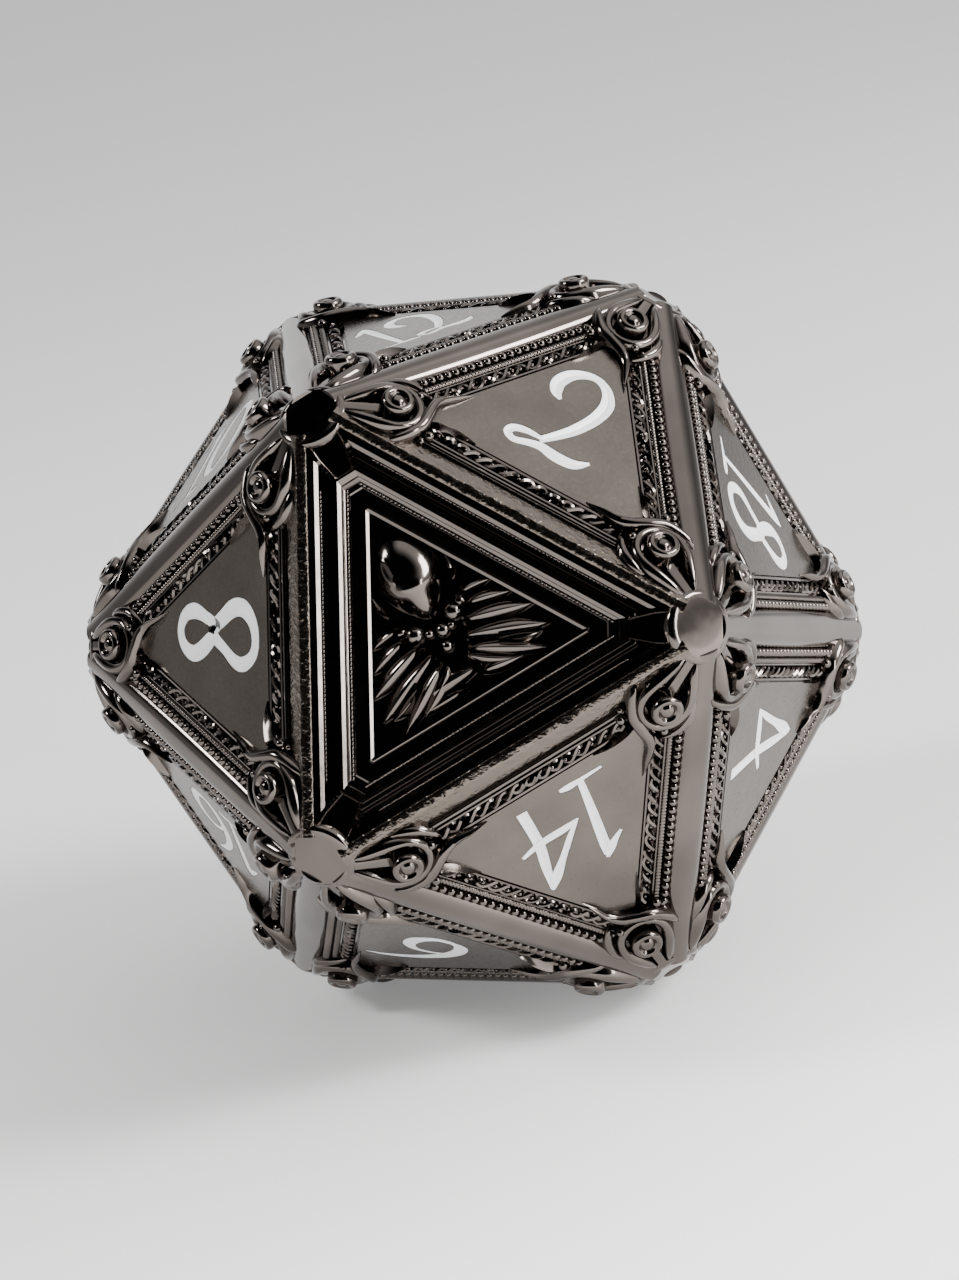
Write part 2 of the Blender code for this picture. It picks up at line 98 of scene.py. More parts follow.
# Steps of the casting under the ornament, in millimetres: inset from the crest line, rise against the
# crest plane, and how far back from the corner the step turns across it
NUMBER_STEPS = [
    (1.24, -0.36, 3.0), (1.34, -0.34, 3.4), (1.90, -0.34, 4.6), (1.94, -0.42, 4.8), (2.00, -0.34, 5.0),
    (2.38, -0.34, 6.2), (2.41, 0.00, 6.3), (2.52, 0.02, 6.5), (2.56, -0.30, 6.6), (3.36, -0.30, 7.6),
    (3.39, 0.10, 7.65), (3.52, 0.13, 7.75), (3.55, -0.08, 7.8), (3.62, -0.10, 7.9), (3.65, 0.12, 8.0),
]
RELIEF_STEPS = [
    (0.10, -0.10, 3.0), (0.52, -0.14, 3.35), (0.68, -0.15, 3.5), (0.92, -0.295, 3.85), (0.94, -0.54, 3.9),
    (1.12, -0.56, 4.1), (1.17, -0.46, 4.2), (1.36, -0.44, 4.5), (1.44, -0.53, 4.55), (1.58, -0.52, 4.75),
    (1.62, -0.40, 4.8), (1.88, -0.38, 5.1), (1.92, -0.24, 5.2), (2.10, -0.22, 5.35), (2.32, -0.352, 5.7),
    (2.36, -0.42, 5.75), (2.40, -0.44, 5.85), (2.54, -0.524, 6.05), (2.80, -0.56, 6.4), (2.86, -0.64, 6.5),
    (3.68, -0.68, 7.6), (3.74, -0.56, 7.7), (3.80, -0.54, 7.75), (3.98, -0.65, 8.0), (4.04, -1.40, 8.1),
]
RELIEF_FLOOR = -1.40
BURIED = 1.3 * MM              # the ground's outermost points lie this far under pads and crest lines
ROOT = -2.2                    # how deep ridges, edges and keys reach into the ground, in millimetres

# Strokes of the digits: (x, y, width) along the pen's way, in digit heights, baseline at 0
STROKES = {
    "0": [[(0.33, 0.97, 0.065), (0.17, 0.85, 0.11), (0.075, 0.60, 0.13), (0.06, 0.36, 0.13),
           (0.12, 0.13, 0.10), (0.26, 0.03, 0.065), (0.42, 0.15, 0.11), (0.52, 0.40, 0.13),
           (0.535, 0.64, 0.13), (0.47, 0.87, 0.10), "closed"]],
    "1": [[(0.17, 0.775, 0.02), (0.25, 0.83, 0.05), (0.34, 0.90, 0.085), (0.41, 0.985, 0.03)],
          [(0.385, 0.95, 0.075), (0.36, 0.80, 0.09), (0.29, 0.42, 0.078), (0.226, 0.04, 0.055)],
          [(0.0, 0.022, 0.018), (0.20, 0.028, 0.038), (0.34, 0.032, 0.062), (0.43, 0.022, 0.03)]],
    "2": [[(0.235, 0.605, 0.02), (0.175, 0.66, 0.085), (0.15, 0.76, 0.105), (0.20, 0.88, 0.095),
           (0.30, 0.955, 0.07), (0.40, 0.965, 0.062), (0.495, 0.90, 0.08), (0.55, 0.77, 0.105),
           (0.53, 0.60, 0.10), (0.46, 0.42, 0.09), (0.375, 0.28, 0.075), (0.27, 0.14, 0.055)],
          [(0.285, 0.165, 0.03), (0.16, 0.165, 0.055), (0.065, 0.13, 0.065), (0.045, 0.07, 0.06),
           (0.11, 0.03, 0.055), (0.21, 0.065, 0.06), (0.31, 0.09, 0.075), (0.44, 0.07, 0.095),
           (0.58, 0.085, 0.085), (0.68, 0.17, 0.02)]],
    "3": [[(0.09, 0.80, 0.02), (0.13, 0.90, 0.075), (0.27, 0.965, 0.062), (0.42, 0.90, 0.10),
           (0.45, 0.76, 0.11), (0.36, 0.61, 0.075), (0.20, 0.53, 0.035)],
          [(0.22, 0.545, 0.035), (0.38, 0.52, 0.075), (0.49, 0.39, 0.12), (0.485, 0.20, 0.125),
           (0.36, 0.065, 0.09), (0.19, 0.035, 0.07), (0.07, 0.12, 0.09), (0.06, 0.21, 0.02)]],
    "4": [[(0.552, 0.985, 0.02), (0.46, 0.87, 0.095), (0.31, 0.71, 0.06), (0.138, 0.524, 0.05),
           (0.0, 0.395, 0.012)],
          [(0.55, 0.97, 0.03), (0.48, 0.69, 0.085), (0.415, 0.41, 0.09), (0.385, 0.01, 0.098)],
          [(0.01, 0.40, 0.012), (0.15, 0.425, 0.07), (0.40, 0.43, 0.065), (0.61, 0.478, 0.03)]],
    "5": [[(0.13, 0.93, 0.05), (0.30, 0.945, 0.075), (0.51, 0.985, 0.02)],
          [(0.165, 0.955, 0.05), (0.12, 0.62, 0.052)],
          [(0.105, 0.60, 0.03), (0.25, 0.655, 0.06), (0.42, 0.575, 0.10), (0.495, 0.39, 0.125),
           (0.44, 0.18, 0.12), (0.30, 0.055, 0.085), (0.13, 0.04, 0.07), (0.03, 0.13, 0.03)]],
    "6": [[(0.52, 0.985, 0.02), (0.36, 0.90, 0.065), (0.20, 0.72, 0.09), (0.095, 0.48, 0.115),
           (0.085, 0.25, 0.12), (0.17, 0.085, 0.10), (0.32, 0.035, 0.04)],
          [(0.19, 0.07, 0.03), (0.31, 0.045, 0.08), (0.43, 0.09, 0.10), (0.50, 0.25, 0.125),
           (0.455, 0.42, 0.10), (0.34, 0.495, 0.07), (0.20, 0.46, 0.05), (0.10, 0.37, 0.03)]],
    "7": [[(0.03, 0.83, 0.02), (0.08, 0.915, 0.085), (0.28, 0.92, 0.07), (0.53, 0.965, 0.04)],
          [(0.52, 0.975, 0.03), (0.39, 0.70, 0.075), (0.28, 0.40, 0.10), (0.22, 0.01, 0.11)]],
    "8": [[(0.34, 0.515, 0.09), (0.22, 0.64, 0.13), (0.155, 0.79, 0.125), (0.215, 0.915, 0.09),
           (0.335, 0.96, 0.078), (0.445, 0.905, 0.10), (0.48, 0.79, 0.12), (0.43, 0.65, 0.09), "closed"],
          [(0.31, 0.56, 0.10), (0.17, 0.41, 0.08), (0.075, 0.285, 0.10), (0.06, 0.18, 0.11),
           (0.125, 0.075, 0.09), (0.24, 0.042, 0.083), (0.37, 0.075, 0.10), (0.47, 0.17, 0.13),
           (0.485, 0.29, 0.138), (0.42, 0.42, 0.125), "closed"]],
}
DIGIT_WIDTH = {"0": 0.60, "1": 0.43, "2": 0.68, "3": 0.55, "4": 0.61, "5": 0.54, "6": 0.57, "7": 0.55,
               "8": 0.555, "9": 0.57}
# Middle, baseline and digit height of each number, in millimetres from the face's axis
SINGLE_PLACE = (-0.2, -3.2, 8.5)
PAIR_PLACE = (-0.2, -3.5, 6.9)
OTHER_PLACES = {
    2: (-0.25, -2.85, 8.6), 4: (-1.0, -4.0, 8.6), 6: (0.0, -2.9, 8.0), 8: (0.25, -3.8, 8.4),
    10: (-0.4, -2.9, 7.1), 12: (-0.4, -2.6, 7.0), 14: (-0.3, -3.6, 7.1), 16: (-0.5, -3.4, 7.0),
    18: (-0.45, -3.5, 7.5),
}
PAIR_GAPS = {11: 0.05}


# ---------------------------------------------------------------- user sizes and colours
def length(name, default, description):
    return bpy.props.FloatProperty(name=name, description=description, default=default, unit="LENGTH",
                                   precision=5)


def hex_colour(name, default, description):
    return bpy.props.StringProperty(name=name, description=description + ", as an sRGB hex value",
                                    default=default)


class DieSizes(bpy.types.PropertyGroup):
    ridge_width: length("Ridge width", 2.7 * MM, "Width of an edge ridge at its middle")
    ridge_end_width: length("Ridge end width", 2.1 * MM, "Width of an edge ridge where it meets a corner pad")
    pearl_pitch: length("Pearl pitch", 0.60 * MM, "Distance between the pearls beside a ridge")
    rod_radius: length("Rod radius", 0.21 * MM, "Radius of the finely striated rod")
    striation_pitch: length("Striation pitch", 0.26 * MM, "Distance between two grooves round the rod")
    link_pitch: length("Link pitch", 0.92 * MM, "Distance between two eyes of the twisted band")
    button_radius: length("Button radius", 1.05 * MM, "Radius of the round button in each face corner")
    groove_slope: bpy.props.FloatProperty(
        name="Groove slope", description="Depth of a digit's groove for each unit of its half width",
        default=0.18)


class DieColours(bpy.types.PropertyGroup):
    nickel: hex_colour("Black nickel", "665F5B", "Reflection colour of the plating")
    nickel_dark: hex_colour("Black nickel, deep", "5A5450", "Reflection colour in thicker plating")
    plate: hex_colour("Plate", "68625C", "Lighter clouds of the satin plates")
    plate_dark: hex_colour("Plate, deep", "5D5752", "Darker clouds of the satin plates")
    hammered: hex_colour("Hammered band", "686059", "Reflection colour beside the relief")
    enamel: hex_colour("Enamel", "FBFBFB", "Colour of the filling in the digits")
    enamel_shade: hex_colour("Enamel, thin", "F0F1F3", "Colour where the filling is thinner")
    floor: hex_colour("Floor", "EDECEB", "Colour of the table")
    # Painted shade: the table turns greyer towards its back left, where less light falls
    floor_far: hex_colour("Floor, back left", "D0CFD0", "Colour of the table's far corner")


def sizes():
    return bpy.context.scene.die_sizes


def colours():
    return bpy.context.scene.die_colours


# ---------------------------------------------------------------- nodes and materials
def linear(hex_colour):
    """sRGB hex to a linear RGBA colour."""
    channels = [int(hex_colour[start:start + 2], 16) / 255 for start in (0, 2, 4)]
    return tuple(c / 12.92 if c <= 0.04045 else ((c + 0.055) / 1.055) ** 2.4 for c in channels) + (1.0,)


def add_node(tree, kind, inputs=None, **settings):
    """Add a node: settings are its own properties, inputs are socket values or sockets to link from."""
    node = tree.nodes.new(kind)
    for name, value in settings.items():
        setattr(node, name, value)
    for key, value in (inputs or {}).items():
        socket = node.inputs[key]
        if isinstance(value, bpy.types.NodeSocket):
            tree.links.new(value, socket)
        else:
            socket.default_value = value
    return node


def calc(tree, operation, *values):
    """A Math node over values or sockets."""
    return add_node(tree, "ShaderNodeMath", dict(enumerate(values)), operation=operation)


def new_material(name):
    material = bpy.data.materials.new(name)
    material.use_nodes = True
    tree = material.node_tree
    tree.nodes.clear()
    return material, tree


def ramp(tree, factor, stops):
    """A colour ramp over a factor, from (position, colour) stops."""
    node = add_node(tree, "ShaderNodeValToRGB", {"Fac": factor})
    elements = node.color_ramp.elements
    while len(elements) < len(stops):
        elements.new(0.5)
    for element, (position, colour) in zip(elements, stops):
        element.position = position
        element.color = colour
    return node.outputs["Color"]


def mix_colours(tree, factor, first, second):
    node = tree.nodes.new("ShaderNodeMix")
    node.data_type = "RGBA"
    tree.links.new(factor, node.inputs[0])
    for socket, value in ((node.inputs[6], first), (node.inputs[7], second)):
        if isinstance(value, bpy.types.NodeSocket):
            tree.links.new(value, socket)
        else:
            socket.default_value = value
    return node.outputs[2]


def grey(value):
    return (value, value, value, 1.0)


def finish_material(tree, shader):
    add_node(tree, "ShaderNodeOutputMaterial", {"Surface": shader.outputs[0]})


def polished_black_nickel():
    """Black nickel over zinc, tumbled bright: mirror-like, with the faint ripple that a cast skin keeps."""
    material, tree = new_material("polished_black_nickel")
    place = add_node(tree, "ShaderNodeTexCoord").outputs["Object"]
    cloud = add_node(tree, "ShaderNodeTexNoise", {"Vector": place, "Scale": 1 / (6 * MM), "Detail": 2.0})
    tone = ramp(tree, cloud.outputs["Fac"], [(0.35, linear(colours().nickel_dark)),
                                             (0.65, linear(colours().nickel))])
    rub = add_node(tree, "ShaderNodeTexNoise", {"Vector": place, "Scale": 1 / (1.2 * MM), "Detail": 3.0})
    gloss = ramp(tree, rub.outputs["Fac"], [(0.3, grey(0.07)), (0.75, grey(0.16))])
    ripple = add_node(tree, "ShaderNodeTexNoise", {"Vector": place, "Scale": 1 / (0.9 * MM), "Detail": 1.0})
    bump = add_node(tree, "ShaderNodeBump", {"Height": ripple.outputs["Fac"], "Strength": 0.05,
                                             "Distance": 0.05 * MM})
    shader = add_node(tree, "ShaderNodeBsdfPrincipled", {
        "Base Color": tone, "Metallic": 1.0, "Roughness": gloss, "Normal": bump.outputs["Normal"]})
    finish_material(tree, shader)
    return material


def satin_black_nickel():
    """The same plating over the blasted plates: satin, with an orange-peel grain about 0.25 mm wide."""
    material, tree = new_material("satin_black_nickel")
    place = add_node(tree, "ShaderNodeTexCoord").outputs["Object"]
    cloud = add_node(tree, "ShaderNodeTexNoise", {"Vector": place, "Scale": 1 / (4 * MM), "Detail": 3.0})
    tone = ramp(tree, cloud.outputs["Fac"], [(0.3, linear(colours().plate_dark)),
                                             (0.7, linear(colours().plate))])
    grain = add_node(tree, "ShaderNodeTexNoise", {"Vector": place, "Scale": 1 / (0.28 * MM), "Detail": 2.0})
    gloss = ramp(tree, grain.outputs["Fac"], [(0.3, grey(0.19)), (0.7, grey(0.28))])
    bump = add_node(tree, "ShaderNodeBump", {"Height": grain.outputs["Fac"], "Strength": 0.22,
                                             "Distance": 0.05 * MM})
    shader = add_node(tree, "ShaderNodeBsdfPrincipled", {
        "Base Color": tone, "Metallic": 1.0, "Roughness": gloss, "Normal": bump.outputs["Normal"]})
    finish_material(tree, shader)
    return material


def hammered_black_nickel():
    """Plating over the streaked band along the relief's frame: fine hammer marks about 0.3 mm wide."""
    material, tree = new_material("hammered_black_nickel")
    place = add_node(tree, "ShaderNodeTexCoord").outputs["Object"]
    marks = add_node(tree, "ShaderNodeTexVoronoi", {"Vector": place, "Scale": 1 / (0.45 * MM)})
    grain = add_node(tree, "ShaderNodeTexNoise", {"Vector": place, "Scale": 1 / (0.2 * MM), "Detail": 2.0})
    both = calc(tree, "ADD", marks.outputs["Distance"], grain.outputs["Fac"])
    bump = add_node(tree, "ShaderNodeBump", {"Height": both.outputs[0], "Strength": 0.55,
                                             "Distance": 0.08 * MM})
    shader = add_node(tree, "ShaderNodeBsdfPrincipled", {
        "Base Color": linear(colours().hammered), "Metallic": 1.0, "Roughness": 0.2,
        "Normal": bump.outputs["Normal"]})
    finish_material(tree, shader)
    return material


def white_enamel():
    """Soft-fired white enamel: glossy, slightly uneven where it shrank into the groove."""
    material, tree = new_material("white_enamel")
    place = add_node(tree, "ShaderNodeTexCoord").outputs["Object"]
    mottle = add_node(tree, "ShaderNodeTexNoise", {"Vector": place, "Scale": 1 / (0.5 * MM), "Detail": 3.0})
    tone = ramp(tree, mottle.outputs["Fac"], [(0.3, linear(colours().enamel_shade)),
                                              (0.6, linear(colours().enamel))])
    bump = add_node(tree, "ShaderNodeBump", {"Height": mottle.outputs["Fac"], "Strength": 0.15,
                                             "Distance": 0.04 * MM})
    shader = add_node(tree, "ShaderNodeBsdfPrincipled", {
        "Base Color": tone, "Roughness": 0.34, "IOR": 1.5, "Normal": bump.outputs["Normal"]})
    finish_material(tree, shader)
    return material


def pale_table():
    """Opal sheet with painted light and shade: a glow of its own, strongest near the front right and faint
    towards the back and left, and a colour greyer towards the back left, with a barely uneven sheen.
    """
    material, tree = new_material("pale_table")
    place = add_node(tree, "ShaderNodeTexCoord").outputs["Object"]
    speckle = add_node(tree, "ShaderNodeTexNoise", {"Vector": place, "Scale": 1 / (3 * MM), "Detail": 2.0})
    gloss = ramp(tree, speckle.outputs["Fac"], [(0.3, grey(0.55)), (0.7, grey(0.65))])
    # Painted shade: the table's colour greys towards the back left, where less light reaches it
    back_left = add_node(tree, "ShaderNodeVectorMath", {0: place, 1: (-0.6, 0.8, 0)}, operation="DOT_PRODUCT")
    painted_shade_fade = add_node(tree, "ShaderNodeMapRange", {"Value": back_left.outputs["Value"], "From Min": -0.02,
                                                 "From Max": 0.30}, interpolation_type="SMOOTHSTEP")
    tone = mix_colours(tree, painted_shade_fade.outputs[0], linear(colours().floor), linear(colours().floor_far))
    # Painted light: the table glows, strongest near the front right and faint towards the back and left, so
    # the shadow there stays dark
    near = add_node(tree, "ShaderNodeVectorMath", {0: place, 1: (0.6, -1.0, 0)}, operation="DOT_PRODUCT")
    painted_glow = add_node(tree, "ShaderNodeMapRange", {
        "Value": near.outputs["Value"], "From Min": 0.0, "From Max": 0.08, "To Min": 0.22, "To Max": 1.60},
        interpolation_type="SMOOTHSTEP")
    shader = add_node(tree, "ShaderNodeBsdfPrincipled", {
        "Base Color": tone, "Roughness": gloss, "Emission Color": grey(1.0),
        "Emission Strength": painted_glow.outputs[0]})
    finish_material(tree, shader)
    return material


def material_of(maker):
    """The material that a maker function names, made the first time it is asked for."""
    return bpy.data.materials.get(maker.__name__) or maker()


# ---------------------------------------------------------------- the icosahedron's places
def polar(radius, angle, height):
    return Vector((radius * math.cos(angle), radius * math.sin(angle), height))


def corner_directions():
    corners = {}
    for index in range(3):
        angle = TURN + math.radians(120 * index)
        shifted = angle + math.radians(60)
        corners[f"top{index}"] = polar(FACE_REACH, angle, INRADIUS)
        corners[f"low{index}"] = polar(WAIST_RADIUS, angle, -WAIST_HEIGHT)
        corners[f"up{index}"] = polar(WAIST_RADIUS, shifted, WAIST_HEIGHT)
        corners[f"bot{index}"] = polar(FACE_REACH, shifted, -INRADIUS)
    return corners


CORNERS = corner_directions()


def frame_of(x_axis, y_axis, z_axis, origin):
    place = Matrix((x_axis, y_axis, z_axis)).transposed().to_4x4()
    place.translation = origin
    return place


def turned_by(degrees):
    return Matrix.Rotation(math.radians(degrees), 4, "Z")


def face_frame(number):
    """X right and Y up as the numeral is read, Z outwards, origin on the crest plane."""
    tips = [CORNERS[name] for name in FACES[number]]
    normal = sum(tips, Vector()).normalized()
    up = (tips[0] - normal * tips[0].dot(normal)).normalized()
    return frame_of(up.cross(normal), up, normal, CENTRE + normal * CREST_PLANE)


def side_frame(number, side):
    """X along one side, Y inwards from its crest line, Z outwards, origin at mid-side."""
    return face_frame(number) @ turned_by(120 - 120 * side) @ Matrix.Translation((0, -CORNER_REACH / 2, 0))


def button_frame(number, corner):
    """Y from a button towards the face's middle, Z outwards, origin on the crest plane."""
    button = Matrix.Translation((0, BUTTON_REACH, 0))
    return face_frame(number) @ turned_by(-120 * corner) @ button @ turned_by(180)


def clockwise_corners(number):
    first, second, third = FACES[number]
    a, b, c = (CORNERS[name] for name in (first, second, third))
    return (first, second, third) if (b - a).cross(c - a).dot(a) < 0 else (first, third, second)


def sides_of(number):
    """The two corner names at the ends of each side, in side order."""
    order = clockwise_corners(number)
    return [frozenset((order[side], order[(side + 1) % 3])) for side in range(3)]


RELIEF_SIDES = set(sides_of(RELIEF_FACE))
PLAIN_SIDES = [(number, side) for number in NUMBERED for side in range(3)
               if sides_of(number)[side] not in RELIEF_SIDES]
SHARED_SIDES = [(number, side) for number in NUMBERED for side in range(3)
                if sides_of(number)[side] in RELIEF_SIDES]


# ---------------------------------------------------------------- mesh helpers
def object_from(name, shape, *makers):
    """A linked object from a bmesh, with the materials of the given makers."""
    mesh = bpy.data.meshes.new(name)
    shape.to_mesh(mesh)
    shape.free()
    for maker in makers:
        mesh.materials.append(material_of(maker))
    item = bpy.data.objects.new(name, mesh)
    bpy.context.scene.collection.objects.link(item)
    return item


def smooth(item, degrees=35):
    item.data.shade_smooth()
    item.data.set_sharp_from_angle(angle=math.radians(degrees))


def casting_piece(item, node=CASTING):
    """Hand a finished piece to the frame."""
    if not item.data.polygons:
        raise RuntimeError(f"{item.name} came out empty")
    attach(item, BODY)
    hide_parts(node)
    return item


def loft(shape, sections, ring=False):
    """Join closed sections of equal point count into a closed solid."""
    rows = [[shape.verts.new(point) for point in section] for section in sections]
    count = len(rows[0])
    pairs = list(zip(rows, rows[1:]))
    if ring:
        pairs.append((rows[-1], rows[0]))
    for first, second in pairs:
        for index in range(count):
            following = (index + 1) % count
            shape.faces.new((first[index], first[following], second[following], second[index]))
    if not ring:
        shape.faces.new(reversed(rows[0]))
        shape.faces.new(rows[-1])


def turned(shape, place, profile, segments):
    """A closed solid of revolution about Z from (radius, height) points in millimetres, bottom to top."""
    sections = []
    for radius, height in profile:
        section = []
        for index in range(segments):
            section.append(place @ polar(radius * MM, 2 * math.pi * index / segments, height * MM))
        sections.append(section)
    loft(shape, sections)


def swept(shape, place, path, section):
    """A band along a path. Path points are (x, y, z, width, height) in millimetres on the ground plane;
    the section is a list of (across, up) from -1 to 1 and from 0 to 1."""
    sections = []
    for index, (x, y, z, width, height) in enumerate(path):
        before = path[max(index - 1, 0)]
        after = path[min(index + 1, len(path) - 1)]
        run = Vector((after[0] - before[0], after[1] - before[1], 0)).normalized()
        across = Vector((-run.y, run.x, 0))
        origin = Vector((x, y, z))
        points = []
        for side, rise in section:
            points.append(place @ ((origin + across * side * width / 2 + Vector((0, 0, rise * height))) * MM))
        sections.append(points)
    loft(shape, sections)


def curve_through(points, steps):
    """Catmull-Rom points through a list of equal-length tuples."""
    result = []
    last = len(points) - 1
    for index in range(last):
        window = [Vector(points[min(max(index + offset, 0), last)]) for offset in (-1, 0, 1, 2)]
        for step in range(steps):
            result.append(spline_point(window, step / steps))
    result.append(Vector(points[-1]))
    return result


def spline_point(window, t):
    before, start, end, after = window
    return 0.5 * (2 * start + (end - before) * t + (2 * before - 5 * start + 4 * end - after) * t ** 2
                  + (3 * start - before - 3 * end + after) * t ** 3)


def mirrored(path):
    return [(-point[0], *point[1:]) for point in path]


def boolean(target, tool, operation):
    modifier = target.modifiers.new(operation.lower(), "BOOLEAN")
    modifier.operation = operation
    modifier.solver = "EXACT"
    modifier.object = tool
    depsgraph = bpy.context.evaluated_depsgraph_get()
    result = bpy.data.meshes.new_from_object(target.evaluated_get(depsgraph))
    target.modifiers.clear()
    target.data = result
    bpy.data.objects.remove(tool, do_unlink=True)


# ---------------------------------------------------------------- geometry node trees
def new_tree(name, *inputs):
    """A geometry node tree with named inputs, each (name, socket type, default)."""
    tree = bpy.data.node_groups.new(name, "GeometryNodeTree")
    tree.interface.new_socket(name="Geometry", in_out="INPUT", socket_type="NodeSocketGeometry")
    tree.interface.new_socket(name="Geometry", in_out="OUTPUT", socket_type="NodeSocketGeometry")
    for label, kind, default in inputs:
        socket = tree.interface.new_socket(name=label, in_out="INPUT", socket_type=kind)
        if default is not None:
            socket.default_value = default
    entry = add_node(tree, "NodeGroupInput")
    return tree, entry.outputs


def close_tree(tree, geometry, material):
    real = add_node(tree, "GeometryNodeRealizeInstances", {"Geometry": geometry})
    painted = add_node(tree, "GeometryNodeSetMaterial", {"Geometry": real.outputs[0], "Material": material})
    add_node(tree, "NodeGroupOutput", {"Geometry": painted.outputs[0]})


def facing_rotation(tree, axis_along, along):
    """Rotation with Z along the stored facing and one other axis along a direction."""
    facing = add_node(tree, "GeometryNodeInputNamedAttribute", {"Name": "facing"}, data_type="FLOAT_VECTOR")
    upright = add_node(tree, "FunctionNodeAlignRotationToVector", {"Vector": facing.outputs["Attribute"]},
                       axis="Z")
    return add_node(tree, "FunctionNodeAlignRotationToVector", {
        "Rotation": upright.outputs[0], "Vector": along}, axis=axis_along, pivot_axis="Z").outputs[0]


def copies_along_lines_tree():
    """Copies of one small object, evenly spaced along every line and standing on its face."""
    tree, given = new_tree("copies_along_lines", ("Copied piece", "NodeSocketObject", None),
                           ("Pitch", "NodeSocketFloat", 0.6 * MM), ("Finish", "NodeSocketMaterial", None))
    line = add_node(tree, "GeometryNodeMeshToCurve", {"Mesh": given["Geometry"]})
    spaced = add_node(tree, "GeometryNodeResampleCurve", {"Curve": line.outputs[0], "Length": given["Pitch"]},
                      mode="LENGTH")
    tangent = add_node(tree, "GeometryNodeInputTangent")
    piece = add_node(tree, "GeometryNodeObjectInfo", {"Object": given["Copied piece"]})
    copies = add_node(tree, "GeometryNodeInstanceOnPoints", {
        "Points": spaced.outputs[0], "Instance": piece.outputs["Geometry"],
        "Rotation": facing_rotation(tree, "X", tangent.outputs[0])})
    close_tree(tree, copies.outputs[0], given["Finish"])
    return tree


def copies_at_places_tree():
    """One ornament copied to every place, turned to that place's facing and heading."""
    tree, given = new_tree("copies_at_places", ("Copied piece", "NodeSocketObject", None),
                           ("Finish", "NodeSocketMaterial", None))
    heading = add_node(tree, "GeometryNodeInputNamedAttribute", {"Name": "heading"}, data_type="FLOAT_VECTOR")
    piece = add_node(tree, "GeometryNodeObjectInfo", {"Object": given["Copied piece"]})
    copies = add_node(tree, "GeometryNodeInstanceOnPoints", {
        "Points": given["Geometry"], "Instance": piece.outputs["Geometry"],
        "Rotation": facing_rotation(tree, "Y", heading.outputs["Attribute"])})
    close_tree(tree, copies.outputs[0], given["Finish"])
    return tree


def striated_rods_tree():
    """A round rod along every line, its radius rising and falling once for each striation."""
    tree, given = new_tree(
        "striated_rods", ("Radius", "NodeSocketFloat", 0.2 * MM), ("Striation", "NodeSocketFloat", 0.26 * MM),
        ("Depth", "NodeSocketFloat", 0.2), ("Finish", "NodeSocketMaterial", None))
    line = add_node(tree, "GeometryNodeMeshToCurve", {"Mesh": given["Geometry"]})
    step = calc(tree, "DIVIDE", given["Striation"], 4.0)
    fine = add_node(tree, "GeometryNodeResampleCurve", {"Curve": line.outputs[0], "Length": step.outputs[0]},
                    mode="LENGTH")
    along = add_node(tree, "GeometryNodeSplineParameter")
    turns = calc(tree, "DIVIDE", along.outputs["Length"], given["Striation"])
    angle = calc(tree, "MULTIPLY", turns.outputs[0], 2 * math.pi)
    wave = calc(tree, "SINE", angle.outputs[0])
    swell = add_node(tree, "ShaderNodeMath", {0: wave.outputs[0], 1: given["Depth"], 2: 1.0},
                     operation="MULTIPLY_ADD")
    radius = calc(tree, "MULTIPLY", swell.outputs[0], given["Radius"])
    round_section = add_node(tree, "GeometryNodeCurvePrimitiveCircle", {"Resolution": 8, "Radius": 1.0})
    rod = add_node(tree, "GeometryNodeCurveToMesh", {
        "Curve": fine.outputs[0], "Profile Curve": round_section.outputs[0], "Scale": radius.outputs[0],
        "Fill Caps": True})
    close_tree(tree, rod.outputs[0], given["Finish"])
    return tree


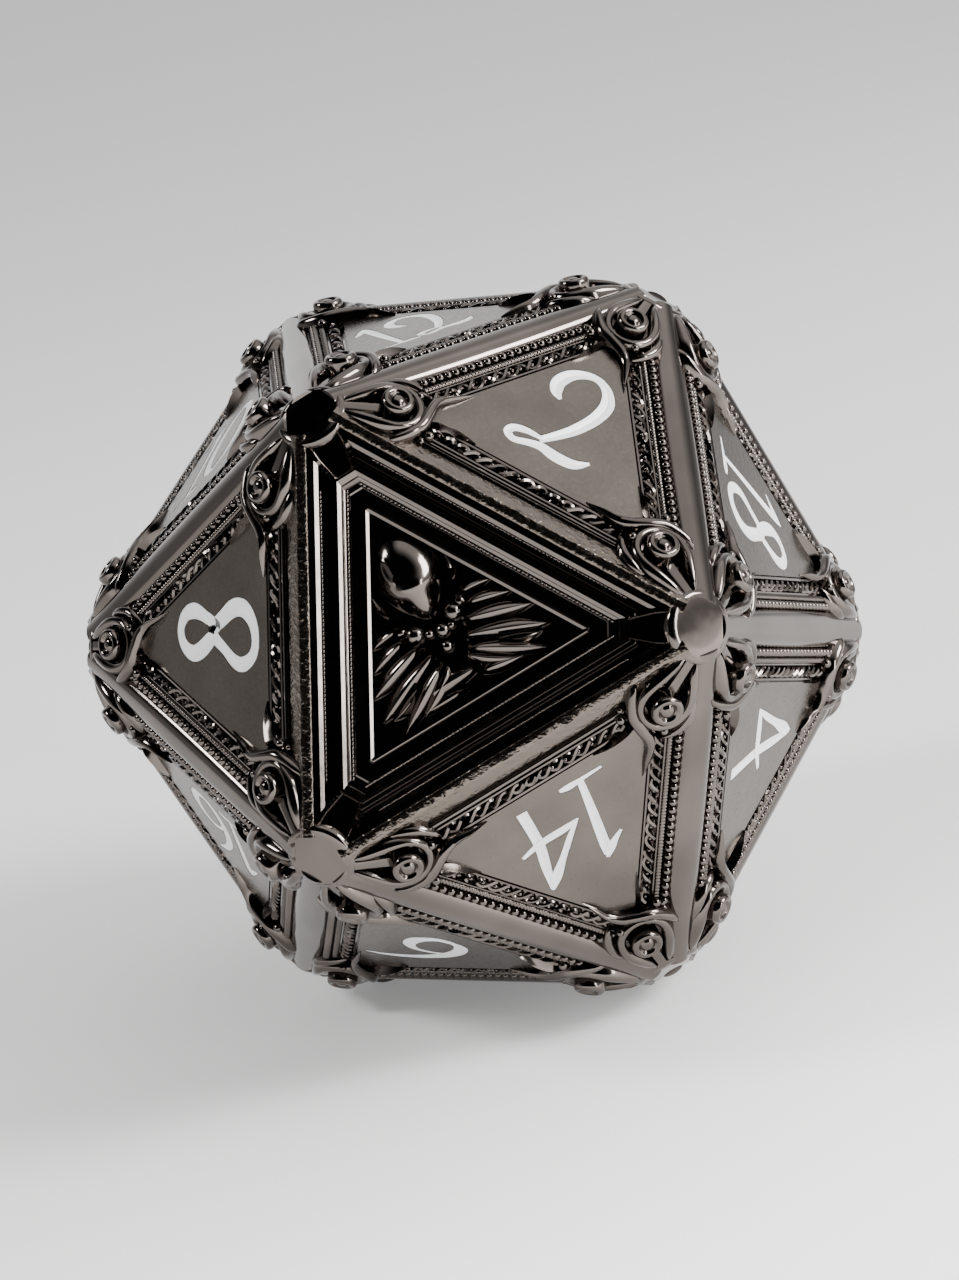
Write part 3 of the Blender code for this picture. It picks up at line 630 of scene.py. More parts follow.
def twisted_bands_tree():
    """Two strands that weave past each other along every line, leaving an eye at each pitch."""
    tree, given = new_tree(
        "twisted_bands", ("Pitch", "NodeSocketFloat", 0.92 * MM), ("Swing", "NodeSocketFloat", 0.24 * MM),
        ("Strand", "NodeSocketFloat", 0.12 * MM), ("Finish", "NodeSocketMaterial", None))
    line = add_node(tree, "GeometryNodeMeshToCurve", {"Mesh": given["Geometry"]})
    step = calc(tree, "DIVIDE", given["Pitch"], 6.0)
    fine = add_node(tree, "GeometryNodeResampleCurve", {"Curve": line.outputs[0], "Length": step.outputs[0]},
                    mode="LENGTH")
    facing = add_node(tree, "GeometryNodeInputNamedAttribute", {"Name": "facing"}, data_type="FLOAT_VECTOR")
    tangent = add_node(tree, "GeometryNodeInputTangent")
    across = add_node(tree, "ShaderNodeVectorMath", {0: facing.outputs["Attribute"], 1: tangent.outputs[0]},
                      operation="CROSS_PRODUCT")
    along = add_node(tree, "GeometryNodeSplineParameter")
    turns = calc(tree, "DIVIDE", along.outputs["Length"], given["Pitch"])
    section = add_node(tree, "GeometryNodeCurvePrimitiveCircle", {"Resolution": 5, "Radius": 1.0})
    strands = add_node(tree, "GeometryNodeJoinGeometry")
    for sign in (1.0, -1.0):
        angle = calc(tree, "MULTIPLY", turns.outputs[0], math.pi)
        swing = calc(tree, "SINE", angle.outputs[0])
        signed = calc(tree, "MULTIPLY", swing.outputs[0], sign)
        offset = calc(tree, "MULTIPLY", signed.outputs[0], given["Swing"])
        sideways = add_node(tree, "ShaderNodeVectorMath", {0: across.outputs[0], "Scale": offset.outputs[0]},
                            operation="SCALE")
        lift = calc(tree, "COSINE", angle.outputs[0])
        over = calc(tree, "MULTIPLY", lift.outputs[0], sign)
        height = calc(tree, "MULTIPLY", over.outputs[0], given["Strand"])
        upwards = add_node(tree, "ShaderNodeVectorMath", {
            0: facing.outputs["Attribute"], "Scale": height.outputs[0]}, operation="SCALE")
        shift = add_node(tree, "ShaderNodeVectorMath", {0: sideways.outputs[0], 1: upwards.outputs[0]},
                         operation="ADD")
        moved = add_node(tree, "GeometryNodeSetPosition", {
            "Geometry": fine.outputs[0], "Offset": shift.outputs[0]})
        strand = add_node(tree, "GeometryNodeCurveToMesh", {
            "Curve": moved.outputs[0], "Profile Curve": section.outputs[0], "Scale": given["Strand"],
            "Fill Caps": True})
        tree.links.new(strand.outputs[0], strands.inputs[0])
    close_tree(tree, strands.outputs[0], given["Finish"])
    return tree


def tree_of(maker):
    """The node tree that a maker function names, built the first time it is asked for."""
    name = maker.__name__.removesuffix("_tree")
    return bpy.data.node_groups.get(name) or maker()


def grown(item, maker, **values):
    """Run a node tree on an object and keep the result as its plain mesh."""
    tree = tree_of(maker)
    modifier = item.modifiers.new(tree.name, "NODES")
    modifier.node_group = tree
    sockets = {socket.name: socket.identifier for socket in tree.interface.items_tree
               if socket.in_out == "INPUT"}
    for key, value in values.items():
        modifier[sockets[key.replace("_", " ")]] = value
    depsgraph = bpy.context.evaluated_depsgraph_get()
    result = bpy.data.meshes.new_from_object(item.evaluated_get(depsgraph))
    item.modifiers.clear()
    item.data = result
    return item


def store_vectors(item, name, vectors):
    attribute = item.data.attributes.new(name, "FLOAT_VECTOR", "POINT")
    attribute.data.foreach_set("vector", [c for vector in vectors for c in vector])


def guide_lines(name, sides, lanes, start):
    """Straight lines along the given sides: lanes are (inset, rise), start is back from the corner."""
    shape = bmesh.new()
    facings = []
    for number, side in sides:
        place = side_frame(number, side)
        outward = (place.to_3x3() @ Vector((0, 0, 1))).normalized()
        for inset, rise in lanes:
            half = SIDE_HALF - start * MM
            ends = [shape.verts.new(place @ Vector((sign * half, inset * MM, rise * MM))) for sign in (-1, 1)]
            shape.edges.new(ends)
            facings += [outward, outward]
    item = object_from(name, shape)
    store_vectors(item, "facing", facings)
    return item


def small_dome(name, length, width, height, segments=8, rings=5):
    """A bead to copy: an ellipsoid with its long axis on X."""
    shape = bmesh.new()
    bmesh.ops.create_uvsphere(shape, u_segments=segments, v_segments=rings, radius=1.0)
    size = Matrix.Diagonal((length * MM, width * MM, height * MM, 1))
    bmesh.ops.transform(shape, matrix=size, verts=shape.verts)
    item = object_from(name, shape)
    item.data.shade_smooth()
    return item


def copies_along(name, sides, lanes, start, bead, pitch, maker):
    lines = guide_lines(name, sides, lanes, start)
    grown(lines, copies_along_lines_tree, Copied_piece=bead, Pitch=pitch, Finish=material_of(maker))
    bpy.data.objects.remove(bead, do_unlink=True)
    lines.data.shade_smooth()
    return casting_piece(lines)


# ---------------------------------------------------------------- the casting's ground
def ring_of_step(step):
    """Nine points of one step round a face: two ends and a middle for each side."""
    inset, rise, cut = (value * MM for value in step)
    points = []
    for corner in range(3):
        turn = turned_by(-120 * corner)
        spread = cut * math.tan(math.radians(30)) - inset / math.cos(math.radians(30))
        points.append(turn @ Vector((-spread, CORNER_REACH - cut, rise)))
        points.append(turn @ Vector((spread, CORNER_REACH - cut, rise)))
        points.append(turn @ turned_by(-60) @ Vector((0, CORNER_REACH / 2 - inset, rise)))
    return points


def buried_crest(number):
    """The outermost points, shared with the neighbouring faces and buried under the ridges."""
    points = []
    order = clockwise_corners(number)
    for index in range(3):
        tip = CORNERS[order[index]]
        before = CORNERS[order[index - 1]]
        after = CORNERS[order[(index + 1) % 3]]
        for other in (before, after):
            direction = (other - tip * other.dot(tip)).normalized()
            points.append(CENTRE + tip * (PAD_DISTANCE - BURIED) + direction * PAD_RADIUS * 0.8)
        middle = (tip + after) / 2
        points.append(CENTRE + middle * CORNER_DISTANCE - middle.normalized() * BURIED)
    return points


def build_ground():
    shape = bmesh.new()
    for number in FACES:
        place = face_frame(number)
        steps = RELIEF_STEPS if number == RELIEF_FACE else NUMBER_STEPS
        rings = [buried_crest(number)] + [[place @ point for point in ring_of_step(step)] for step in steps]
        rows = [[shape.verts.new(point) for point in points] for points in rings]
        for outer, inner in zip(rows, rows[1:]):
            for index in range(9):
                following = (index + 1) % 9
                shape.faces.new((outer[following], outer[index], inner[index], inner[following]))
        plate = shape.faces.new(reversed(rows[-1]))
        plate.material_index = 0 if number == RELIEF_FACE else 1
    bmesh.ops.remove_doubles(shape, verts=shape.verts, dist=0.001 * MM)
    bmesh.ops.holes_fill(shape, edges=[edge for edge in shape.edges if edge.is_boundary], sides=0)
    bmesh.ops.recalc_face_normals(shape, faces=shape.faces)
    return object_from("casting_ground", shape, polished_black_nickel, satin_black_nickel)


# ---------------------------------------------------------------- digits
ENAMEL_LEVEL = -0.03 * MM      # rim of a filling, against the plate
ENAMEL_FLOOR = -0.46 * MM
ENAMEL_SWELL = 0.02 * MM       # a filling's rim beyond its stroke
ENAMEL_RIM = 0.04 * MM         # flat width beside the groove's slope
POCKET_TOP = 0.12 * MM         # the cutter stands clear of the plate
POCKET_FLOOR = -0.52 * MM
POCKET_WALL = 0.05 * MM        # a pocket's wall beyond the stroke
PEN_STEPS = 7                  # points between two of a stroke's own
THINNEST = 0.01                # of a stroke's end, in digit heights


def digit_strokes(digit):
    """A digit's strokes: the 9 is the 6 turned upside down."""
    if digit != "9":
        return STROKES[digit]
    return [[(DIGIT_WIDTH["6"] - x, 1 - y, width) for x, y, width in stroke] for stroke in STROKES["6"]]


def stroke_line(stroke, steps=PEN_STEPS):
    """Closely spaced points of a stroke, and whether it closes on itself."""
    if stroke[-1] != "closed":
        return curve_through(stroke, steps), False
    points = stroke[:-1]
    count = len(points)
    line = []
    for index in range(count):
        window = [Vector(points[(index + offset) % count]) for offset in (-1, 0, 1, 2)]
        for step in range(steps):
            line.append(spline_point(window, step / steps))
    return line, True


def stroke_solid(stroke, height, section):
    """A ribbon along a stroke. section(half_width) gives its (offset, level) outline."""
    line, closed = stroke_line(stroke)
    count = len(line)
    sections = []
    for index, (x, y, width) in enumerate(line):
        before = line[index - 1] if closed or index else line[0]
        after = line[(index + 1) % count] if closed or index < count - 1 else line[-1]
        run = Vector((after.x - before.x, after.y - before.y)).normalized()
        across = Vector((-run.y, run.x))
        spine = Vector((x, y)) * height
        points = []
        for offset, level in section(max(width, THINNEST) * height / 2):
            points.append(Vector((*(spine + across * offset), level)))
        sections.append(points)
    shape = bmesh.new()
    loft(shape, sections, ring=closed)
    bmesh.ops.recalc_face_normals(shape, faces=shape.faces)
    return shape


def block_section(grow, top, bottom):
    return lambda half: [(half + grow, top), (-half - grow, top), (-half - grow, bottom),
                         (half + grow, bottom)]


def creased_section(level, bottom, slope):
    """A filling that sinks from its two rims to a crease along the stroke's middle."""
    def section(stroke_half):
        half = stroke_half + ENAMEL_SWELL
        rim = min(ENAMEL_RIM, half * 0.3)
        crease = level - (half - rim) * slope
        return [(half, level), (half - rim, level), (0.0, crease), (rim - half, level), (-half, level),
                (-half, bottom), (half, bottom)]
    return section


def united_digit(digit, height, section):
    """One digit's strokes as a single closed solid."""
    strokes = digit_strokes(digit)
    solid = object_from("digit", stroke_solid(strokes[0], height, section))
    for stroke in strokes[1:]:
        boolean(solid, object_from("stroke", stroke_solid(stroke, height, section)), "UNION")
    return solid


def enamel_mesh(digit, height):
    """The filling: as wide as its strokes, its top sunk to a crease along each stroke."""
    solid = united_digit(digit, height, creased_section(ENAMEL_LEVEL, ENAMEL_FLOOR, sizes().groove_slope))
    mesh = solid.data
    bpy.data.objects.remove(solid, do_unlink=True)
    return mesh


def digit_places(number):
    """Each digit of a number: its CAD node, text, height and place in the face's frame."""
    text = str(number)
    usual = SINGLE_PLACE if len(text) == 1 else PAIR_PLACE
    middle, baseline, height = (value * MM for value in OTHER_PLACES.get(number, usual))
    if len(text) == 1:
        return [(f"enamel_{number}", text, height, middle - DIGIT_WIDTH[text] * height / 2, baseline)]
    gap = PAIR_GAPS.get(number, 0.0)
    tens, units = (DIGIT_WIDTH[digit] for digit in text)
    tens_start = middle - (tens + gap + units) * height / 2
    units_start = tens_start + (tens + gap) * height
    return [(f"enamel_{number}_tens", text[0], height, tens_start, baseline),
            (f"enamel_{number}_units", text[1], height, units_start, baseline)]


# ---------------------------------------------------------------- operators
class DIE_OT_casting_ground(bpy.types.Operator):
    """Stepped ground of the casting with its satin plates and the engraved digits' pockets"""
    bl_idname = "die.casting_ground"
    bl_label = "Casting ground"

    def execute(self, context):
        ground = build_ground()
        pockets = bmesh.new()
        wall = block_section(POCKET_WALL, POCKET_TOP, POCKET_FLOOR)
        cache = {}
        for number in NUMBERED:
            for _, digit, height, x, y in digit_places(number):
                if (digit, height) not in cache:
                    cache[digit, height] = united_digit(digit, height, wall)
                mesh = cache[digit, height].data.copy()
                mesh.transform(face_frame(number) @ Matrix.Translation((x, y, PLATE_RISE)))
                pockets.from_mesh(mesh)
                bpy.data.meshes.remove(mesh)
        for solid in cache.values():
            bpy.data.objects.remove(solid, do_unlink=True)
        boolean(ground, object_from("pockets", pockets), "DIFFERENCE")
        smooth(ground, 20)
        casting_piece(ground)
        return {"FINISHED"}


class DIE_OT_ridges(bpy.types.Operator):
    """Smooth rounded ridges along the edges between numbered faces"""
    bl_idname = "die.ridges"
    bl_label = "Edge ridges"

    def execute(self, context):
        shape = bmesh.new()
        for pair in sorted({tuple(sorted(side)) for number in FACES for side in sides_of(number)}):
            if frozenset(pair) not in RELIEF_SIDES:
                add_ridge(shape, pair)
        bmesh.ops.recalc_face_normals(shape, faces=shape.faces)
        ridges = object_from("edge_ridges", shape, polished_black_nickel)
        smooth(ridges, 50)
        casting_piece(ridges)
        return {"FINISHED"}


def edge_frame(names):
    """X along an edge, Z outwards through its middle, origin on the crest line. Y leans to the relief."""
    first, second = (CORNERS[name] for name in names)
    outward = (first + second).normalized()
    along = (second - first).normalized()
    across = outward.cross(along)
    relief = face_frame(RELIEF_FACE).to_3x3() @ Vector((0, 0, 1))
    if across.dot(relief) < 0:
        along, across = -along, -across
    return frame_of(along, across, outward, CENTRE + (first + second) / 2 * CORNER_DISTANCE)


RIDGE_HALF_LENGTH = 12.4      # millimetres: its ends are buried in the pads
RIDGE_DEPTH = 1.05
RIDGE_SQUARENESS = 2.4        # 2 is an ellipse, more is flatter on top
RIDGE_STEPS = 20              # lengths of a ridge's loft
ROUND_STEPS = 24              # chords of its rounded top
RELIEF_EDGE = [
    (-1.62, ROOT), (-1.62, -0.86), (-1.58, -0.68), (-1.46, -0.50), (-1.1, -0.28), (-0.75, -0.08),
    (-0.50, 0.05), (-0.44, 0.085), (-0.36, 0.09), (0.0, -0.02), (0.16, -0.10), (0.19, -0.16), (0.19, ROOT),
]
EDGE_STEPS = 120
STREAK = 0.035                # height of the slope's streaks


def ridge_half_width(x):
    middle, end = sizes().ridge_width / MM / 2, sizes().ridge_end_width / MM / 2
    return end + (middle - end) * (1 - abs(x / RIDGE_HALF_LENGTH) ** 2.2)


def add_ridge(shape, names):
    """A smooth rounded bar from pad to pad."""
    place = edge_frame(names)
    sections = []
    for step in range(RIDGE_STEPS + 1):
        x = RIDGE_HALF_LENGTH * (2 * step / RIDGE_STEPS - 1)
        half = ridge_half_width(x)
        section = []
        for index in range(ROUND_STEPS + 1):
            angle = math.radians(-90 + 180 / ROUND_STEPS * index)
            side = math.copysign(abs(math.sin(angle)) ** (2 / RIDGE_SQUARENESS), angle)
            drop = RIDGE_DEPTH * (1 - max(math.cos(angle), 0.0) ** (2 / RIDGE_SQUARENESS))
            section.append(place @ (Vector((x, side * half, -drop)) * MM))
        section += [place @ (Vector((x, side, ROOT)) * MM) for side in (half, -half)]
        sections.append(section)
    loft(shape, sections)


def add_relief_edge(shape, names):
    """A sharp inner edge and a broad, streaked outer slope beside the relief."""
    place = edge_frame(names)
    sections = []
    for step in range(EDGE_STEPS + 1):
        x = RIDGE_HALF_LENGTH * (2 * step / EDGE_STEPS - 1)
        section = []
        for y, z in RELIEF_EDGE:
            streak = STREAK * noise.noise(Vector((x * 0.9, y * 9, place.translation.x / MM)))
            on_slope = -1.6 < y < -0.1 and z > -0.8
            section.append(place @ (Vector((x, y, z + (streak if on_slope else 0))) * MM))
        sections.append(section)
    loft(shape, sections)


PAD_PROFILE = [  # radius, height against the pad's own plane
    (2.34, -2.0), (2.34, -0.42), (2.31, -0.24), (2.22, -0.11), (2.05, -0.04), (1.75, 0.0), (1.2, 0.02),
    (0.5, 0.03), (0.15, 0.03),
]


class DIE_OT_corner_pads(bpy.types.Operator):
    """Twelve round, slightly domed pads where five ridges meet"""
    bl_idname = "die.corner_pads"
    bl_label = "Corner pads"

    def execute(self, context):
        shape = bmesh.new()
        profile = [(radius, PAD_DISTANCE / MM + rise) for radius, rise in PAD_PROFILE]
        for tip in CORNERS.values():
            place = Matrix.Translation(CENTRE) @ tip.to_track_quat("Z", "Y").to_matrix().to_4x4()
            turned(shape, place, profile, 48)
        bmesh.ops.recalc_face_normals(shape, faces=shape.faces)
        pads = object_from("corner_pads", shape, polished_black_nickel)
        smooth(pads, 50)
        casting_piece(pads)
        return {"FINISHED"}


# Lanes beside a side's crest line: inset and rise. Starts: from the corner to the end of the row
PEARL_LANE, PEARL_START = (1.64, -0.02), 6.4
STRIATED_LANE, STRIATED_START = (2.19, -0.06), 6.8
PLAIN_LANE, PLAIN_START = (2.10, -0.10), 6.6
BAND_LANE, BEAD_LANE, BAND_START = (2.97, -0.02), (2.97, -0.04), 7.8
ROPE_LANES, ROPE_START, ROPE_PITCH = [(1.01, -0.52), (2.68, -0.56)], 5.6, 0.27 * MM


class DIE_OT_pearl_rows(bpy.types.Operator):
    """A row of pearls beside each ridge"""
    bl_idname = "die.pearl_rows"
    bl_label = "Pearl rows"

    def execute(self, context):
        pearl = small_dome("large_pearl", 0.29, 0.30, 0.30, 8, 5)
        copies_along("large_pearl_rows", PLAIN_SIDES, [PEARL_LANE], PEARL_START, pearl,
                     sizes().pearl_pitch, polished_black_nickel)
        return {"FINISHED"}


class DIE_OT_striated_rods(bpy.types.Operator):
    """The finely striated rod beside the pearls, and the plain rods beside the relief's frame"""
    bl_idname = "die.striated_rods"
    bl_label = "Striated rods"

    def execute(self, context):
        rods = guide_lines("striated_rods", PLAIN_SIDES, [STRIATED_LANE], STRIATED_START)
        grown(rods, striated_rods_tree, Radius=sizes().rod_radius, Striation=sizes().striation_pitch,
              Depth=0.16, Finish=material_of(polished_black_nickel))
        smooth(rods, 60)
        casting_piece(rods)
        plain = guide_lines("plain_rods", SHARED_SIDES, [PLAIN_LANE], PLAIN_START)
        grown(plain, striated_rods_tree, Radius=0.19 * MM, Striation=2 * MM, Depth=0.0,
              Finish=material_of(polished_black_nickel))
        smooth(plain, 60)
        casting_piece(plain)
        return {"FINISHED"}


class DIE_OT_link_bands(bpy.types.Operator):
    """The twisted band beside each plate, with a bead in every eye"""
    bl_idname = "die.link_bands"
    bl_label = "Link bands"

    def execute(self, context):
        pitch = sizes().link_pitch
        sides = PLAIN_SIDES + SHARED_SIDES
        bands = guide_lines("twisted_link_bands", sides, [BAND_LANE], BAND_START)
        grown(bands, twisted_bands_tree, Pitch=pitch, Swing=0.29 * MM, Strand=0.14 * MM,
              Finish=material_of(polished_black_nickel))
        smooth(bands, 60)
        casting_piece(bands)
        bead = small_dome("eye_bead", 0.17, 0.15, 0.2, 6, 4)
        copies_along("link_eye_beads", sides, [BEAD_LANE], BAND_START + pitch / 2 / MM, bead, pitch,
                     polished_black_nickel)
        return {"FINISHED"}


HALF_ROUND = [(-1.0, 0.0), (-0.96, 0.45), (-0.8, 0.78), (-0.5, 0.95), (0.0, 1.0), (0.5, 0.95),
              (0.8, 0.78), (0.96, 0.45), (1.0, 0.0)]
KEEL = [(-1.0, 0.0), (-0.98, 0.35), (-0.75, 0.55), (-0.4, 0.68), (-0.12, 0.92), (0.0, 1.0), (0.12, 0.92),
        (0.4, 0.68), (0.75, 0.55), (0.98, 0.35), (1.0, 0.0)]
FLAT_TOP = [(-1.0, 0.0), (-1.0, 0.86), (-0.9, 0.98), (-0.7, 1.0), (0.7, 1.0), (0.9, 0.98), (1.0, 0.86),
            (1.0, 0.0)]


ORNAMENT_ROOT = -0.9          # every band of the ornament starts this far under the crest plane
BUTTON_PROFILE = [  # radius as a share of the button's, height: a rolled rim round a sunk dome
    (1.0, -1.0), (1.0, 0.98), (0.985, 1.15), (0.93, 1.29), (0.84, 1.37), (0.72, 1.39), (0.61, 1.34),
    (0.54, 1.22), (0.48, 1.17), (0.42, 1.21), (0.34, 1.30), (0.20, 1.36), (0.06, 1.38),
]
COLLAR_RADIUS, COLLAR_WIDTH, COLLAR_HEIGHT = 1.56, 0.86, 1.72
# Bands of the ornament: x, y, width, height, with y towards the face's middle
TAIL = [(-0.36, -3.45, 0.20, 0.95), (-0.68, -2.70, 0.70, 1.36), (-1.10, -1.75, 0.92, 1.62),
        (-1.46, -0.85, 0.94, 1.74)]
TONGUE = [(0.0, -3.6, 0.60, 1.05), (0.0, -2.5, 0.66, 1.16), (0.0, -0.7, 0.76, 1.22)]
STRAP = [(2.42, -0.75, 0.10, 0.9), (2.36, -0.15, 0.60, 1.40), (2.02, 0.65, 0.84, 1.66),
         (1.38, 1.52, 1.02, 1.84), (0.40, 2.05, 1.00, 1.88), (-0.55, 2.55, 0.92, 1.80),
         (-1.14, 3.25, 0.72, 1.62), (-1.50, 4.15, 0.52, 1.46), (-1.98, 5.25, 0.10, 1.10)]
LEAF = [(0.72, 2.00, 0.34, 1.2), (1.02, 2.62, 0.66, 1.56), (1.30, 3.35, 0.78, 1.60),
        (1.62, 4.15, 0.56, 1.46), (2.02, 5.05, 0.10, 1.10)]
LOBE = [(-1.66, -1.30, 0.10, 0.8), (-2.02, -0.60, 0.56, 1.28), (-2.20, 0.20, 0.80, 1.50),
        (-2.12, 1.05, 0.82, 1.52), (-1.72, 1.85, 0.62, 1.42), (-1.30, 2.40, 0.16, 1.1)]
BERRIES = [((1.95, 2.05, 0.32), 0.32), ((-1.05, 1.60, 0.55), 0.28), ((2.25, 1.55, 0.1), 0.22)]


def collar_path():
    """A horseshoe round the button, its two tails running out to the corner."""
    bend = []
    for degrees in range(0, 181, 30):
        angle = math.radians(degrees)
        bend.append((-COLLAR_RADIUS * math.cos(angle), COLLAR_RADIUS * math.sin(angle),
                     COLLAR_WIDTH, COLLAR_HEIGHT))
    return TAIL + bend + mirrored(TAIL)[::-1]


def corner_ornament():
    """One face corner's ornament in its own frame: button, collar with tails, tongue, lobes and leaves."""
    shape = bmesh.new()
    here = Matrix.Identity(4)
    radius = sizes().button_radius / MM
    turned(shape, here, [(radius * share, height) for share, height in BUTTON_PROFILE], 28)
    for path, steps, section in ((collar_path(), 5, HALF_ROUND), (TONGUE, 3, FLAT_TOP),
                                 (STRAP, 5, HALF_ROUND), (LEAF, 5, KEEL), (LOBE, 5, HALF_ROUND)):
        raised = [(x, y, ORNAMENT_ROOT, width, height) for x, y, width, height in path]
        swept(shape, here, curve_through(raised, steps), section)
    for place, size in BERRIES:
        ball(shape, here, place, size)
    bmesh.ops.recalc_face_normals(shape, faces=shape.faces)
    item = object_from("corner_ornament", shape)
    smooth(item, 45)
    return item


def ball(shape, place, centre, radius, segments=12, rings=8):
    move = place @ Matrix.Translation(Vector(centre) * MM)
    made = bmesh.ops.create_uvsphere(shape, u_segments=segments, v_segments=rings, radius=radius * MM)
    bmesh.ops.transform(shape, matrix=move, verts=made["verts"])


class DIE_OT_corner_ornaments(bpy.types.Operator):
    """Buttons, collars, lobes and leaves in every corner of the numbered faces"""
    bl_idname = "die.corner_ornaments"
    bl_label = "Corner ornaments"

    def execute(self, context):
        shape = bmesh.new()
        facings, headings = [], []
        for number in NUMBERED:
            for corner in range(3):
                place = button_frame(number, corner)
                shape.verts.new(place.translation)
                facings.append(place.to_3x3() @ Vector((0, 0, 1)))
                headings.append(place.to_3x3() @ Vector((0, 1, 0)))
        places = object_from("corner_ornaments", shape)
        store_vectors(places, "facing", facings)
        store_vectors(places, "heading", headings)
        master = corner_ornament()
        grown(places, copies_at_places_tree, Copied_piece=master, Finish=material_of(polished_black_nickel))
        bpy.data.objects.remove(master, do_unlink=True)
        smooth(places, 45)
        casting_piece(places)
        return {"FINISHED"}


class DIE_OT_relief_frame(bpy.types.Operator):
    """Corner keys, rope lines and hammered bands of the relief's deep frame"""
    bl_idname = "die.relief_frame"
    bl_label = "Relief frame"

    def execute(self, context):
        relief_sides = [(RELIEF_FACE, side) for side in range(3)]
        grain = small_dome("rope_grain", 0.15, 0.09, 0.1, 6, 4)
        copies_along("relief_rope_lines", relief_sides, ROPE_LANES, ROPE_START, grain, ROPE_PITCH,
                     polished_black_nickel)
        keys = bmesh.new()
        for corner in range(3):
            add_key(keys, face_frame(RELIEF_FACE) @ turned_by(-120 * corner))
        bmesh.ops.recalc_face_normals(keys, faces=keys.faces)
        piece = object_from("relief_corner_keys", keys, polished_black_nickel)
        smooth(piece, 30)
        casting_piece(piece)
        edges = bmesh.new()
        for pair in sorted(tuple(sorted(side)) for side in RELIEF_SIDES):
            add_relief_edge(edges, pair)
        bmesh.ops.recalc_face_normals(edges, faces=edges.faces)
        strip = object_from("relief_edges", edges, hammered_black_nickel)
        smooth(strip, 40)
        casting_piece(strip)
        return {"FINISHED"}


KEY_STEPS = [(14.2, 1.04, -0.04), (13.0, 0.96, -0.08), (11.6, 0.66, -0.12), (11.35, 0.5, -0.5)]
KEY_RIM = 0.09                # width of a key's border
KEY_BEAD = 0.06               # its rise
KEY_SINK = 0.10               # the flat between the borders


def add_key(shape, place):
    """A flat tapered key with thin raised borders, from a pad into a corner of the frame."""
    sections = []
    for y, half, top in KEY_STEPS:
        left = [(-half, ROOT), (-half, top), (-half + KEY_RIM * 0.4, top + KEY_BEAD), (-half + KEY_RIM, top),
                (-half + KEY_RIM * 1.3, top - KEY_SINK)]
        outline = left + mirrored(left)[::-1]
        sections.append([place @ (Vector((x, y, z)) * MM) for x, z in outline])
    loft(shape, sections)


class DIE_OT_relief(bpy.types.Operator):
    """Smooth skull and sprays of blades sunk in the relief face"""
    bl_idname = "die.relief"
    bl_label = "Relief"

    def execute(self, context):
        shape = bmesh.new()
        place = face_frame(RELIEF_FACE) @ Matrix.Translation((0, 0, RELIEF_FLOOR * MM))
        add_skull(shape, place)
        add_sprays(shape, place)
        bmesh.ops.recalc_face_normals(shape, faces=shape.faces)
        relief = object_from("sunk_relief", shape, polished_black_nickel)
        smooth(relief, 50)
        casting_piece(relief)
        return {"FINISHED"}


SKULL_HALF_WIDTH, SKULL_HALF_LENGTH, SKULL_DOME = 2.20, 3.12, 2.35
SKULL_MIDDLE = 4.12           # up the face from its middle
SKULL_SINK = 0.75             # the dome's widest ring, under the relief's floor
KNOBS = [  # x, y, radius
    (-1.55, 0.75, 0.62), (1.25, 0.80, 0.58), (0.12, 0.15, 0.46), (-0.15, -0.85, 0.40), (-0.72, 0.35, 0.30),
    (0.72, 0.15, 0.26), (1.95, 1.15, 0.34), (-2.2, 1.35, 0.36),
]
KNOB_RISE = 0.28


def add_skull(shape, place):
    """A smooth rounded skull seen from above its brow, over a row of knobs."""
    made = bmesh.ops.create_uvsphere(shape, u_segments=64, v_segments=48, radius=1.0)
    for vert in made["verts"]:
        x, y, z = vert.co
        narrow = 1 - 0.42 * max(-y, 0) ** 1.4
        brow = 0.13 * math.exp(-((y + 0.30) / 0.20) ** 2) * max(z, 0)
        temples = sum(0.30 * math.exp(-((x - s * 0.50) ** 2 + (y + 0.62) ** 2) / 0.05) for s in (-1, 1))
        ring = math.exp(-((math.hypot((x + 0.42) / 0.13, (y - 0.26) / 0.24) - 1) / 0.35) ** 2)
        rise = z * SKULL_DOME * (1 + brow + 0.05 * ring) - (temples * 0.7 if z > 0 else 0) - SKULL_SINK
        vert.co = place @ (Vector((x * SKULL_HALF_WIDTH * narrow + 0.1 * y,
                                   SKULL_MIDDLE + y * SKULL_HALF_LENGTH, rise)) * MM)
    for x, y, radius in KNOBS:
        ball(shape, place, (x, y, KNOB_RISE), radius, 20, 14)


BLADE = [(-1.0, 0.0), (-0.96, 0.52), (-0.5, 0.80), (-0.06, 1.0), (0.06, 1.0), (0.5, 0.80), (0.96, 0.52),
         (1.0, 0.0)]
BLADES = [  # x, y, direction, length, width, height, bend: on the right side, mirrored to the left
    (1.9, 1.5, 12, 2.4, 0.80, 1.00, -30), (2.0, 0.8, -6, 3.1, 1.00, 1.10, -16),
    (1.5, 0.0, -14, 4.5, 1.25, 1.25, -6), (1.2, -0.9, -18, 5.2, 1.30, 1.15, -8),
    (0.9, -1.6, -30, 4.9, 1.20, 1.25, -2), (0.7, -2.0, -44, 3.4, 1.10, 1.00, 20),
    (2.9, -2.1, -40, 2.7, 0.80, 1.30, 34), (2.3, 2.5, 66, 1.9, 0.60, 0.80, 26),
]
LOW_BLADES = [  # along the lower side of the frame, from the middle outwards
    (0.6, -2.9, 176, 4.6, 1.25, 1.05, 10), (-0.4, -3.7, 178, 3.3, 0.80, 0.85, 4),
    (0.9, -3.3, -6, 2.8, 1.00, 0.95, -8),
]
BLADE_STEPS = 12
BLADE_ROOT = -0.15            # under the relief's floor


